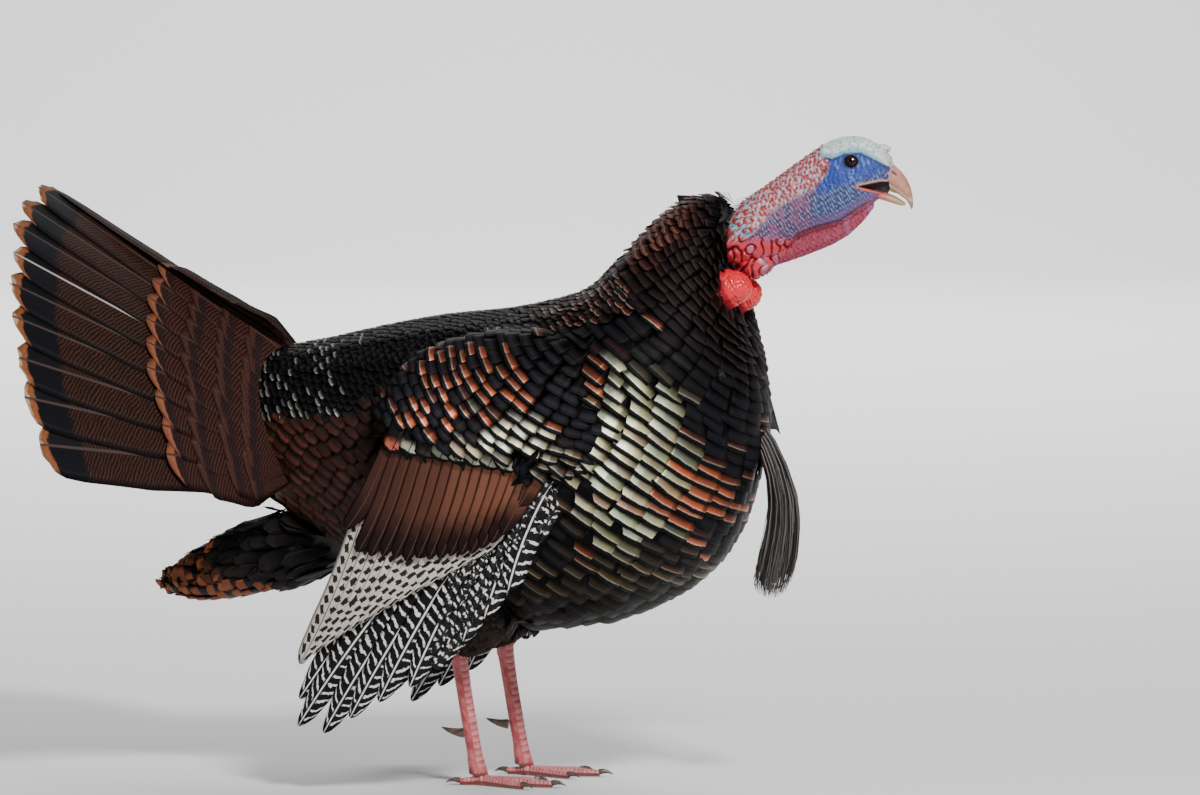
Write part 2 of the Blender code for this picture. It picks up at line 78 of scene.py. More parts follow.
def blob(points, centre, radii):
    """1 at a centre, fading out smoothly past the radii; the sides of the bird count alike."""
    away = points.copy()
    away[:, 1] = np.abs(away[:, 1])
    away = (away - np.array(centre)) / np.array(radii)
    return np.exp(-np.sum(away * away, axis=1))


def mix(first, second, share):
    """Colours blended row by row."""
    share = np.asarray(share)[..., None]
    return np.asarray(first) * (1.0 - share) + np.asarray(second) * share


def waves(points, size, seed, octaves=2):
    """Smooth noise from -1 to 1 at points, a sum of seeded plane waves."""
    draw = np.random.default_rng(seed)
    total = np.zeros(len(points))
    weight = 0.0
    for octave in range(octaves):
        share = 0.6 ** octave
        for _ in range(7):
            heading = unit(draw.normal(size=3)) * 2 * math.pi / (size * 0.5 ** octave)
            total += share * np.sin(points @ heading + draw.uniform(0, 2 * math.pi))
        weight += share * 2.6
    return np.clip(total / weight, -1.0, 1.0)


def columns(*values):
    """Numbers and arrays side by side, a row for each item."""
    return np.stack(np.broadcast_arrays(*values), axis=1)


def set_points(mesh, points):
    """Give a mesh its points, written from the point over the feet."""
    mesh.vertices.foreach_set("co", (points + SHIFT).astype(np.float32).ravel())
    mesh.update()


def finished(shape, name):
    """A bmesh as a mesh of its own."""
    mesh = bpy.data.meshes.new(name)
    shape.to_mesh(mesh)
    shape.free()
    return mesh


def shown(name, data):
    """A new object in the scene."""
    made = bpy.data.objects.new(name, data)
    bpy.context.scene.collection.objects.link(made)
    return made


def place_piece(name, mesh, material, replaces=()):
    """Show a mesh as a piece that rides on the bird."""
    mesh.materials.clear()
    mesh.materials.append(material)
    mesh.shade_smooth()
    piece = shown(name, mesh)
    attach(piece, "root")
    if replaces:
        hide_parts(*replaces)


def store(mesh, name, kind, values):
    """Write a point attribute for the materials."""
    layer = mesh.attributes.new(name, kind, 'POINT')
    if kind == 'FLOAT_COLOR':
        values = np.concatenate([values, np.ones((len(values), 1))], axis=1)
        layer.data.foreach_set("color", values.astype(np.float32).ravel())
    elif kind == 'FLOAT_VECTOR':
        layer.data.foreach_set("vector", values.astype(np.float32).ravel())
    else:
        layer.data.foreach_set("value", values.astype(np.float32).ravel())


def mesh_points(mesh):
    """A mesh's points, from the point over the feet, and its vertex normals."""
    points = np.empty(len(mesh.vertices) * 3, np.float32)
    mesh.vertices.foreach_get("co", points)
    normals = np.empty(len(mesh.vertices) * 3, np.float32)
    mesh.vertex_normals.foreach_get("vector", normals)
    return points.reshape(-1, 3).astype(float) - SHIFT, normals.reshape(-1, 3).astype(float)


def modified(mesh, prepare):
    """The mesh as it is after the modifiers that prepare puts on its object; the first one goes."""
    carrier = shown("source", mesh)
    prepare(carrier)
    graph = bpy.context.evaluated_depsgraph_get()
    made = bpy.data.meshes.new_from_object(carrier.evaluated_get(graph))
    bpy.data.objects.remove(carrier, do_unlink=True)
    bpy.data.meshes.remove(mesh)
    return made


def voxel_mesh(source, voxel, smoothing):
    """A mesh remeshed to even quads and relaxed."""
    def prepare(carrier):
        remesh = carrier.modifiers.new("remesh", 'REMESH')
        remesh.mode = 'VOXEL'
        remesh.voxel_size = voxel
        relax = carrier.modifiers.new("smooth", 'SMOOTH')
        relax.factor = 0.5
        relax.iterations = smoothing

    return modified(source, prepare)


def remeshed(nodes, voxel, smoothing):
    """One closed mesh over CAD nodes, without their seams and facets."""
    shape = bmesh.new()
    for node in nodes:
        shape.from_mesh(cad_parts[node].data)
    return voxel_mesh(finished(shape, "source"), voxel, smoothing)


def surface_over(nodes, voxel, smoothing):
    """The smooth surface over CAD nodes."""
    mesh = remeshed(nodes, voxel, smoothing)
    surface = Surface(mesh)
    bpy.data.meshes.remove(mesh)
    return surface


class Surface:
    """Points, normals, edges and a search tree of a mesh."""

    def __init__(self, mesh):
        self.points, self.normals = mesh_points(mesh)
        edges = np.empty(len(mesh.edges) * 2, np.int32)
        mesh.edges.foreach_get("vertices", edges)
        self.edges = edges.reshape(-1, 2)
        faces = [tuple(face.vertices) for face in mesh.polygons]
        self.tree = BVHTree.FromPolygons(self.points.tolist(), faces)

    def side(self, sign, beyond=0.0):
        """The same surface with the edges of one side of the bird only."""
        part = copy.copy(self)
        part.edges = self.edges[self.points[self.edges[:, 0], 1] * sign > beyond]
        return part

    def settled(self, points, reach):
        """Points drawn to the surface, but never further than their reach."""
        shift = self.nearest(points) - points
        size = np.maximum(np.linalg.norm(shift, axis=1, keepdims=True), 1e-9)
        return points + shift * np.minimum(1.0, reach / size)

    def nearest(self, points):
        """The closest points of the surface."""
        found = [self.tree.find_nearest(Vector(point))[0] for point in points]
        return np.array(found)


# ---------------------------------------------------------------- materials

class Value:
    """An output of a shader node; sums and products of outputs are written as plain arithmetic."""

    def __init__(self, shader, socket):
        self.shader, self.socket = shader, socket

    def __add__(self, other):
        return self.shader.math('ADD', self, other)

    def __radd__(self, other):
        return self.shader.math('ADD', other, self)

    def __sub__(self, other):
        return self.shader.math('SUBTRACT', self, other)

    def __rsub__(self, other):
        return self.shader.math('SUBTRACT', other, self)

    def __mul__(self, other):
        return self.shader.math('MULTIPLY', self, other)

    def __truediv__(self, other):
        return self.shader.math('DIVIDE', self, other)

    def __abs__(self):
        return self.shader.math('ABSOLUTE', self)


class Shader:
    """A node material under construction, with short names for common nodes."""

    def __init__(self, name):
        self.material = bpy.data.materials.new(name)
        self.material.use_nodes = True
        self.tree = self.material.node_tree
        self.bsdf = self.tree.nodes["Principled BSDF"]

    def link(self, value, socket):
        """Join an output to a socket, or set the socket's own constant."""
        if isinstance(value, Value):
            self.tree.links.new(value.socket, socket)
        elif isinstance(value, tuple) and len(value) == 3 and socket.type == 'RGBA':
            socket.default_value = (*value, 1.0)
        else:
            socket.default_value = value

    def node(self, kind, inputs, output=0, **settings):
        """A new node with its settings and inputs; returns one of its outputs."""
        node = self.tree.nodes.new("ShaderNode" + kind)
        for name, value in settings.items():
            setattr(node, name, value)
        for place, value in inputs.items():
            self.link(value, node.inputs[place])
        return Value(self, node.outputs[output])

    def set(self, **values):
        for name, value in values.items():
            self.link(value, self.bsdf.inputs[name.replace("_", " ")])

    def attribute(self, name, output="Vector"):
        return self.node("Attribute", {}, output, attribute_name=name)

    def parts(self, vector):
        node = self.tree.nodes.new("ShaderNodeSeparateXYZ")
        self.link(vector, node.inputs[0])
        return [Value(self, socket) for socket in node.outputs]

    def join(self, x, y, z):
        return self.node("CombineXYZ", {0: x, 1: y, 2: z})

    def math(self, operation, first, second=0.0, clamp=False):
        return self.node("Math", {0: first, 1: second}, operation=operation, use_clamp=clamp)

    def sine(self, value):
        return self.math('SINE', value)

    def smooth(self, value, low, high):
        return self.node("MapRange", {0: value, 1: low, 2: high}, interpolation_type='SMOOTHSTEP')

    def mix(self, share, first, second, blend='MIX'):
        return self.node("Mix", {0: share, 6: first, 7: second}, 2, data_type='RGBA', blend_type=blend)

    def shade(self, colour, tone):
        return self.mix(1.0, colour, self.join(tone, tone, tone), 'MULTIPLY')

    def place(self):
        return self.node("TexCoord", {}, "Object")

    def noise(self, scale, vector=None, detail=3.0, roughness=0.55):
        inputs = {"Vector": vector or self.place(), "Scale": scale, "Detail": detail, "Roughness": roughness}
        return self.node("TexNoise", inputs, "Fac")

    def cells(self, scale):
        return self.node("TexVoronoi", {"Vector": self.place(), "Scale": scale}, "Distance", feature='F1')

    def bump(self, height, distance, strength=1.0):
        bump = self.node("Bump", {"Height": height, "Distance": distance, "Strength": strength})
        self.link(bump, self.bsdf.inputs["Normal"])


def plumage_material(name, roughness=0.40, barbs=34.0):
    """Body feathers: dark root, lustrous patch, then the tip's band; colours come per feather, with a
    painted sheen rim and painted shade and highlight in the tone.
    """
    s = Shader(name)
    u, v, chance = s.parts(s.attribute("vane"))
    lustre_at, tip_at, metal = s.parts(s.attribute("marks"))
    along = v + (s.noise(900.0, detail=2.0) - 0.5) * 0.06
    lustrous = s.smooth(along, lustre_at - 0.09, lustre_at + 0.11)
    tipped = s.smooth(along, tip_at - 0.014, tip_at + 0.014)
    rise = s.math('DIVIDE', v - lustre_at, tip_at - lustre_at, True)
    barb = s.sine((v * barbs + abs(u) * -5.0 + chance * 7.0) * (2 * math.pi))
    patch = s.noise(260.0, detail=3.0)
    lustre = s.attribute("lustre", "Color")
    warmer = s.smooth(u + (chance + patch) * 1.3, 0.9, 2.1)
    lustre = s.mix(warmer, lustre, s.mix(1.0, lustre, (1.02, 0.84, 0.62), 'MULTIPLY'))
    bright = s.smooth(s.parts(lustre)[0], 0.02, 0.12)
    # A pale rim just before the tip's band on bright patches: a painted sheen highlight.
    lustre = s.mix(s.smooth(rise, 0.70, 0.95) * bright * 0.26, lustre, (0.86, 0.88, 0.70))
    colour = s.mix(lustrous, s.attribute("ground", "Color"), lustre)
    colour = s.mix(tipped, colour, s.attribute("edge", "Color"))
    # Tone darker towards the root, partly painted shade under the row above, and lighter on one side of each
    # vane, a painted highlight; patch noise and barbs vary it at random.
    colour = s.shade(colour, 0.06 + patch * 0.40 + rise * 1.00 + u * 0.14 + barb * 0.07)
    s.set(Base_Color=colour, Metallic=lustrous * (1.0 - tipped * 0.75) * (metal * bright),
          Roughness=roughness - 0.06 + patch * 0.14, Specular_IOR_Level=0.06)
    s.bump(barb * 0.3 + patch, 0.0004, 0.55)
    return s.material


# ---------------------------------------------------------------- feathers

VANE_ROWS = np.array([0.0, 0.30, 0.52, 0.70, 0.84, 0.94, 1.0])
VANE_COLUMNS = np.array([-1.0, -0.6, -0.2, 0.2, 0.6, 1.0])
PATCH = 0.003                # side of one feather's patch on the bake's map


class Coat:
    """Feathers collected as arrays, one row each, before they become meshes."""

    TRIPLES = ("root", "up", "lie", "marks", "ground", "lustre", "edge")
    FIELDS = TRIPLES + ("length", "width", "lift", "roll", "square")

    def __init__(self):
        self.rows = {field: [] for field in self.FIELDS}

    def add(self, **values):
        """More feathers; a single value holds for all of them, and one left out is 0."""
        count = len(values["root"])
        for field in self.FIELDS:
            shape = (count, 3) if field in self.TRIPLES else (count,)
            self.rows[field].append(np.broadcast_to(np.asarray(values.get(field, 0.0), float), shape))

    def only(self, chosen):
        """The same coat with some of its feathers left out."""
        self.rows = {field: [np.concatenate(values)[chosen]] for field, values in self.rows.items()}
        return self

    def arrays(self):
        return {field: np.concatenate(self.rows[field]) for field in self.FIELDS}


def vane_points(surface, coat, tip_width, camber):
    """Points of every feather: a grid over its upper face and a middle line under it."""
    root, up = coat["root"], coat["up"]
    count = len(root)
    lie = unit(coat["lie"] - up * np.sum(coat["lie"] * up, axis=1, keepdims=True))
    length = coat["length"][:, None]
    middle = surface.settled(root + lie * length * 0.5, length * 0.10)
    tip = surface.settled(root + lie * length, length * 0.26)
    v = VANE_ROWS[None, :, None]
    spine = (root[:, None] * (1 - v) * (1 - 2 * v) + middle[:, None] * 4 * v * (1 - v)
             + tip[:, None] * v * (2 * v - 1))
    slope = (root[:, None] * (4 * v - 3) + middle[:, None] * (4 - 8 * v) + tip[:, None] * (4 * v - 1))
    across = unit(np.cross(up, lie))
    across = unit(across[:, None] - slope * np.sum(across[:, None] * slope, axis=2, keepdims=True)
                  / np.sum(slope * slope, axis=2, keepdims=True))
    normal = unit(np.cross(slope, across))
    flip = np.sign(np.sum(normal * up[:, None], axis=2, keepdims=True))
    normal = normal * flip
    roll = coat["roll"][:, None, None]
    tilted = across * np.cos(roll) + normal * np.sin(roll)
    normal = normal * np.cos(roll) - across * np.sin(roll)
    shape = np.interp(VANE_ROWS, (0.0, 0.30, 0.60, 0.85, 1.0), (0.30, 0.75, 1.0, 0.97, tip_width))
    square = coat["square"][:, None]
    half = coat["width"][:, None] * 0.5 * (shape + (1.0 - shape) * square * (VANE_ROWS > 0.6))
    tip_round = (0.13 - 0.10 * square)[:, :, None]
    rise = coat["lift"][:, None] * VANE_ROWS[None, :] ** 1.3 - 0.0004
    u = VANE_COLUMNS[None, None, :, None]
    pull = tip_round[..., None] * np.abs(VANE_COLUMNS)[None, None, :, None] ** 2.4 * v[..., None] ** 4
    ragged = np.random.default_rng(SEED + count).uniform(-0.028, 0.028, (count, 1, len(VANE_COLUMNS), 1))
    pull = pull + ragged * v[..., None] ** 6
    top = (spine[:, :, None] + tilted[:, :, None] * u * half[:, :, None, None]
           + normal[:, :, None] * rise[:, :, None, None]
           - normal[:, :, None] * (camber * half[:, :, None, None] * u * u)
           - unit(slope)[:, :, None] * pull * length[:, None, None])
    under = spine + normal * (rise - 0.00035)[:, :, None]
    return top, under


def repeated(faces, count, size):
    """The same faces for each of many parts of the same size."""
    faces = np.asarray(faces)
    return (faces[None] + (np.arange(count) * size)[:, None, None]).reshape(-1, faces.shape[1])


def vane_faces(count, rows, across):
    """Quads of closed vanes: the upper grid, and two strips under it that meet on the middle line."""
    grid = np.arange(rows * across).reshape(rows, across)
    line = rows * across + np.arange(rows)
    top = np.stack([grid[:-1, :-1], grid[:-1, 1:], grid[1:, 1:], grid[1:, :-1]], axis=-1).reshape(-1, 4)
    left = np.stack([grid[:-1, 0], grid[1:, 0], line[1:], line[:-1]], axis=-1)
    right = np.stack([grid[:-1, -1], line[:-1], line[1:], grid[1:, -1]], axis=-1)
    return repeated(np.concatenate([top, left, right]), count, rows * across + rows)


def end_faces(count, rows, across):
    """Triangles that close each vane at its root and tip."""
    first = rows * across
    last = first + rows - 1
    start = (rows - 1) * across
    fans = [(k + 1, k, first) for k in range(across - 1)]
    fans += [(start + k, start + k + 1, last) for k in range(across - 1)]
    return repeated(fans, count, first + rows)


def tube_faces(rings, turns):
    """Quads between the rings of a tube."""
    return [(ring * turns + k, ring * turns + (k + 1) % turns, (ring + 1) * turns + (k + 1) % turns,
             (ring + 1) * turns + k) for ring in range(rings) for k in range(turns)]


def cells_round(wanted, cells):
    """Cells of a square grid, ring by ring round the wanted one."""
    for ring in range(cells):
        for i in range(-ring, ring + 1):
            for j in (range(-ring, ring + 1) if abs(i) == ring else (-ring, ring)):
                cell = (wanted[0] + i, wanted[1] + j)
                if min(cell) >= 0 and max(cell) < cells:
                    yield cell


def free_cells(places, cells):
    """The nearest free cell of a square grid for each place in the unit square."""
    taken = {}
    for place in places:
        wanted = np.clip((place * cells).astype(int), 0, cells - 1)
        taken[next(cell for cell in cells_round(wanted, cells) if cell not in taken)] = True
    return np.array(list(taken), float) / cells


def unwrap(points):
    """Where points lie on the body's own unwrap: round it, and along it from neck to tail."""
    along = np.clip((0.34 - points[:, 0]) / 0.74, 0.0, 0.999)
    middle = np.interp(points[:, 0], (-0.25, 0.10, 0.20, 0.30), (0.39, 0.36, 0.45, 0.60))
    turn = np.arctan2(points[:, 1], points[:, 2] - middle) / (2 * math.pi) + 0.5
    return np.stack([np.clip(turn, 0.0, 0.999), along], axis=1)


def feather_piece(name, surface, coat, material, tip_width=0.86, camber=0.16, replaces=(), most=2000):
    """Turn collected feathers into pieces under the triangle limit."""
    arrays = coat.arrays()
    total = len(arrays["root"])
    pieces = math.ceil(total / most)
    for number in range(pieces):
        part = {field: values[number * total // pieces:(number + 1) * total // pieces]
                for field, values in arrays.items()}
        label = name if pieces == 1 else f"{name}_{number + 1}"
        one_piece(label, surface, part, material, tip_width, camber, replaces if number == 0 else ())


def one_piece(name, surface, part, material, tip_width, camber, replaces):
    """One mesh of feathers with its attributes and the bake's map."""
    top, under = vane_points(surface, part, tip_width, camber)
    count, rows, across = top.shape[:3]
    local, chance = vane_places(count, VANE_COLUMNS, VANE_ROWS, SEED)
    size = rows * across + rows
    mesh = vane_mesh(name, top, under, feather_patches(part["root"], local))
    store(mesh, "vane", 'FLOAT_VECTOR', np.column_stack([local, chance]))
    for field in ("marks", "ground", "lustre", "edge"):
        kind = 'FLOAT_VECTOR' if field == "marks" else 'FLOAT_COLOR'
        store(mesh, field, kind, np.repeat(part[field], size, axis=0))
    place_piece(name, mesh, material, replaces)


def vane_places(count, across, along, seed):
    """Where each vane's points lie over it and along it, and a number from 0 to 1 for each vane."""
    over = np.concatenate([np.tile(across, len(along)), np.zeros(len(along))])
    down = np.concatenate([np.repeat(along, len(across)), along])
    chance = np.random.default_rng(seed).uniform(size=count)
    return np.tile(columns(over, down), (count, 1)), np.repeat(chance, len(over))


def feather_patches(roots, local):
    """Places on the bake's map: a small patch for each feather, near its root's own place."""
    cells = np.repeat(free_cells(unwrap(roots), int(1 / PATCH)), len(local) // len(roots), axis=0)
    return cells + PATCH * (0.1 + 0.8 * (local * (0.5, 1.0) + (0.5, 0.0)))


def vane_mesh(name, top, under, spot):
    """A mesh of closed vanes: grids of points above and a middle line under each."""
    count, rows, across = top.shape[:3]
    verts = np.concatenate([top.reshape(count, -1, 3), under], axis=1).reshape(-1, 3)
    return mapped_mesh(name, verts, vane_faces(count, rows, across), end_faces(count, rows, across), spot)


def mapped_mesh(name, verts, quads, ends, spot):
    """A mesh of quads and end triangles with the bake's map."""
    mesh = bpy.data.meshes.new(name)
    mesh.vertices.add(len(verts))
    corners = np.concatenate([quads.ravel(), ends.ravel()]).astype(np.int32)
    mesh.loops.add(len(corners))
    mesh.loops.foreach_set("vertex_index", corners)
    starts = np.concatenate([np.arange(len(quads)) * 4, quads.size + np.arange(len(ends)) * 3])
    mesh.polygons.add(len(starts))
    mesh.polygons.foreach_set("loop_start", starts.astype(np.int32))
    mesh.vertices.foreach_set("co", (verts + SHIFT).astype(np.float32).ravel())
    mesh.update(calc_edges=True)
    bake_map = mesh.uv_layers.new(name="OFBake")
    bake_map.data.foreach_set("uv", spot[corners].astype(np.float32).ravel())
    return mesh


def level_roots(surface, heights, levels, width, keep, key, jump=0.014):
    """Feather roots along level lines of a height over a surface, every other row staggered."""
    low, high = surface.edges.T
    roots, normals = [], []
    for number, level in enumerate(levels):
        crossing = (heights[low] - level) * (heights[high] - level) < 0
        a, b = low[crossing], high[crossing]
        share = ((level - heights[a]) / (heights[b] - heights[a]))[:, None]
        points = surface.points[a] * (1 - share) + surface.points[b] * share
        facing = surface.normals[a] * (1 - share) + surface.normals[b] * share
        if len(points) < 4:
            continue
        keys = key(points)
        order = np.argsort(keys)
        points, facing, keys = points[order], facing[order], keys[order]
        steps = np.linalg.norm(np.diff(points, axis=0), axis=1)
        run = np.concatenate([[0.0], np.cumsum(steps)])
        run -= np.interp(0.0, keys, run)
        spacing = width(level) if callable(width) else width
        first = math.ceil(run[0] / spacing)
        last = math.floor(run[-1] / spacing)
        wanted = (np.arange(first, last + 1) + 0.5 * (number % 2)) * spacing
        wanted = wanted[(wanted >= run[0]) & (wanted <= run[-1])]
        if not len(wanted):
            continue
        place = np.clip(np.searchsorted(run, wanted), 1, len(run) - 1)
        wanted = wanted[steps[place - 1] < jump]
        made = np.stack([np.interp(wanted, run, points[:, k]) for k in range(3)], axis=1)
        up = np.stack([np.interp(wanted, run, facing[:, k]) for k in range(3)], axis=1)
        stay = keep(made)
        roots.append(made[stay])
        normals.append(unit(up[stay]))
    return np.concatenate(roots), np.concatenate(normals)


def round_key(points):
    """Angle round a ring of points, 0 on the back and up to a half turn at the belly."""
    middle = points.mean(axis=0)
    flat = (points - middle)[:, (0, 2)]
    _, vectors = np.linalg.eigh(flat.T @ flat)
    up = vectors[:, -1] if vectors[1, -1] > 0 else -vectors[:, -1]
    return np.arctan2(points[:, 1], flat @ up)


# ---------------------------------------------------------------- plumage of the body

CENTRE = np.array([0.350, 0.0, 0.640])   # the rows of the neck, breast and back run round here
RUMP_LIE = np.array([-0.57, 0.0, -0.82])  # the way that feathers of the rump's sides lie
BREAST_WIDTHS = ((0.055, 0.070, 0.10, 0.15, 0.22), (0.0050, 0.0075, 0.0105, 0.0180, 0.0330))
BLACK = (0.0045, 0.0040, 0.0045)
NAVY = (0.0085, 0.0085, 0.0130)
# Gold-green lustre, and the pale colour of its painted highlight on the breast
GOLD_GREEN = (0.60, 0.70, 0.44)
HIGHLIGHT_PALE = (0.90, 0.95, 0.76)
COPPER = (0.58, 0.155, 0.085)
OLIVE = (0.16, 0.115, 0.060)
MAROON = (0.060, 0.020, 0.016)
RUFOUS = (0.30, 0.085, 0.030)
# Bluish-white glints of the back and rump: painted highlights
BLUE_SHEEN = (0.34, 0.37, 0.40)


def back_line(x):
    """Height of the line that parts the back's small feathers from those of the sides."""
    return np.interp(x, (-0.22, -0.12, -0.02, 0.05, 0.16, 0.24), (0.425, 0.428, 0.47, 0.505, 0.535, 0.56))


def covered(points, tree, reach=0.05, margin=0.02):
    """True where a wing panel hides the body: one is met outward, here, beside and a little below."""
    out = np.zeros(len(points), bool)
    for k, point in enumerate(points):
        side = Vector((0.0, math.copysign(1.0, point[1]), 0.0))
        hits = 0
        for dx, dz in ((0, 0), (margin, 0), (-margin, 0), (0, -margin)):
            start = Vector(point) + Vector((dx, 0.0, dz)) - side * 0.004
            if tree.ray_cast(start, side, reach)[0] is not None:
                hits += 1
        out[k] = hits == 4
    return out


def node_tree(names):
    """A search tree over CAD nodes."""
    verts, faces = [], []
    for name in names:
        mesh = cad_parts[name].data
        points, _ = mesh_points(mesh)
        start = len(verts)
        verts.extend(points.tolist())
        faces.extend(tuple(start + v for v in face.vertices) for face in mesh.polygons)
    return BVHTree.FromPolygons(verts, faces)


def near(tree, points, distance):
    """True for points closer to a tree than a distance."""
    return np.array([tree.find_nearest(Vector(p), distance)[0] is not None for p in points], bool)


def breast_colours(points, chance):
    """Lustre of the neck, breast and belly: navy above, a pale gold-green zone painted as the breast's
    highlight, copper low in front.
    """
    x, z = points[:, 0], points[:, 2]
    reach = np.linalg.norm(points - CENTRE, axis=1)
    colour = np.broadcast_to(np.array(NAVY), points.shape)
    # The pale gold-green zone: the lustre lightened into a painted highlight where light falls on the
    # breast.
    pale = blob(points, (0.222, 0.165, 0.394), (0.078, 0.12, 0.112))
    pale = ramp(pale + 0.30 * (chance[:, 0] - 0.5), 0.30, 0.70)
    green = mix(GOLD_GREEN, HIGHLIGHT_PALE, chance[:, 1]) * (0.40 + 0.60 * chance[:, 3:4])
    bronze = ramp(chance[:, 2] - 0.5 * pale, 0.30, 0.50)
    colour = mix(colour, mix(green, (0.26, 0.16, 0.10), bronze * 0.8), pale)
    spots = blob(points, (0.18, 0.15, 0.495), (0.055, 0.10, 0.040))
    red = blob(points, (0.300, 0.110, 0.345), (0.060, 0.10, 0.046))
    red = np.maximum(ramp(red + 1.0 * (chance[:, 2] - 0.52), 0.34, 0.62),
                     0.6 * ramp(spots + 0.9 * (chance[:, 2] - 0.75), 0.40, 0.80))
    colour = mix(colour, np.array(COPPER) * (0.5 + 0.7 * chance[:, 0:1]), red)
    low = ramp(z + 0.03 * (chance[:, 0] - 0.5), 0.30, 0.245)
    colour = mix(colour, mix(OLIVE, (0.035, 0.026, 0.020), chance[:, 3]), low)
    colour = mix(colour, (0.016, 0.013, 0.011), ramp(z, 0.275, 0.225))
    colour = mix(colour, (0.010, 0.006, 0.006), ramp(reach, 0.20, 0.14))
    behind = ramp(x, 0.06, -0.03) * ramp(z, 0.50, 0.42)
    return mix(colour, (0.035, 0.026, 0.022), behind)


def neck_and_breast(surface, shoulder, panels):
    """Rows round the neck's foot, over the breast and belly to the vent."""
    reach = np.linalg.norm(surface.points - CENTRE, axis=1)
    levels = [0.036]
    while levels[-1] < 0.66:
        step = float(np.interp(levels[-1], (0.06, 0.14, 0.20), (0.0072, 0.0085, 0.0125)))
        levels.append(levels[-1] + step)

    def width(level):
        return float(np.interp(level, *BREAST_WIDTHS))

    def keep(points):
        high = points[:, 2] > back_line(points[:, 0])
        far = np.linalg.norm(points - CENTRE, axis=1) > 0.19
        rump = (points[:, 0] < -0.045) & (points[:, 2] > 0.315)
        bare = points[:, 0] > 0.2920 + 0.06 * (points[:, 2] - 0.615)
        bare &= points[:, 2] > 0.568
        return ~(high & far) & ~rump & ~bare & ~near(shoulder, points, 0.003)

    roots, up = level_roots(surface, reach, levels, width, keep, round_key)
    hidden = covered(roots, panels) | (near(shoulder, roots, 0.014) & (np.abs(up[:, 1]) < 0.55))
    hidden |= near(shoulder, roots, 0.030) & (roots[:, 0] < 0.105) & (roots[:, 2] < 0.44)
    hidden |= np.abs(np.sum(up * unit(roots - CENTRE), axis=1)) > 0.85
    roots, up = roots[~hidden], up[~hidden]
    level = np.linalg.norm(roots - CENTRE, axis=1)
    count = len(roots)
    chance = rng.uniform(size=(count, 4))
    pitch = np.interp(level, (0.06, 0.14, 0.20), (0.0075, 0.0085, 0.0125))
    wide = np.interp(level, *BREAST_WIDTHS)
    lustre = breast_colours(roots, chance)
    ruff = ramp(level, 0.185, 0.145)
    crest = ruff * ramp(roots[:, 2] - np.interp(roots[:, 0], (0.16, 0.29), (0.55, 0.635)), -0.004, 0.012)
    crest *= ramp(roots[:, 0], 0.285, 0.25)
    lustre = mix(lustre, (0.070, 0.020, 0.016), crest * 0.8)
    over_wattle = np.zeros(count, bool)
    for centre, radii in WATTLES:
        for share in (0.0, 0.5, 1.0):
            place = roots + unit(roots - CENTRE) * share * 0.022
            away = (place - WATTLE_SHIFT - np.array(centre)) / (np.array(radii) * 1.12)
            over_wattle |= np.sum(away * away, axis=1) < 1.0
    coat = Coat()
    # The ruff's dark brown-grey tips are partly a painted highlight along the crests of its rows; the
    # reddish-brown at its top outline is the feathers' own colour.
    coat.add(root=roots, up=up, lie=(roots - CENTRE) + rng.normal(size=(count, 3)) * 0.012,
             length=pitch * (2.45 + 0.35 * chance[:, 3]), width=wide * (1.30 + 0.15 * chance[:, 0]),
             lift=0.0030 + 0.0022 * ruff + 0.003 * crest, roll=0.07 + 0.04 * (chance[:, 1] - 0.5),
             marks=columns(0.57 + 0.09 * chance[:, 2], 0.885 - 0.03 * chance[:, 1], 0.9 - 0.55 * ruff),
             square=0.85 - 0.6 * crest, ground=BLACK, lustre=lustre,
             edge=mix((0.005, 0.005, 0.005), mix((0.020, 0.011, 0.011), (0.078, 0.024, 0.018), crest), ruff))
    return coat.only(~over_wattle)


def back(surface, shoulder):
    """Small scale-like feathers of the mantle, back and rump."""
    reach = np.linalg.norm(surface.points - CENTRE, axis=1)
    levels = np.arange(0.185, 0.66, 0.0078)

    def keep(points):
        return (points[:, 2] > back_line(points[:, 0]) - 0.006) & ~near(shoulder, points, 0.003)

    roots, up = level_roots(surface, reach, levels, 0.0118, keep, round_key)
    count = len(roots)
    chance = rng.uniform(size=(count, 4))
    x = roots[:, 0]
    # Glints on a few feathers, more towards the rump: painted highlights in the lustre colour.
    glint = ramp(chance[:, 0] + 0.22 * ramp(x, -0.08, -0.13), 0.90, 1.10)
    glint = glint * (0.20 + 0.55 * ramp(x, -0.06, -0.12))
    lustre = mix((0.006, 0.006, 0.008), BLUE_SHEEN, glint)
    mantle = ramp(x + 0.03 * (chance[:, 1] - 0.5), 0.06, 0.13)
    maroon = mix((0.016, 0.011, 0.011), (0.13, 0.036, 0.026), ramp(chance[:, 2], 0.3, 1.0))
    lustre = mix(lustre, maroon, mantle)
    coat = Coat()
    coat.add(root=roots, up=up, lie=(roots - CENTRE) + rng.normal(size=(count, 3)) * 0.02,
             length=0.0195 + 0.004 * chance[:, 3], width=0.0155 + 0.002 * chance[:, 0],
             lift=0.0034, roll=0.05 * (chance[:, 1] - 0.5),
             marks=columns(0.76 - 0.14 * mantle, 0.90, 0.7),
             ground=BLACK, lustre=lustre, edge=(0.006, 0.006, 0.007))
    return coat


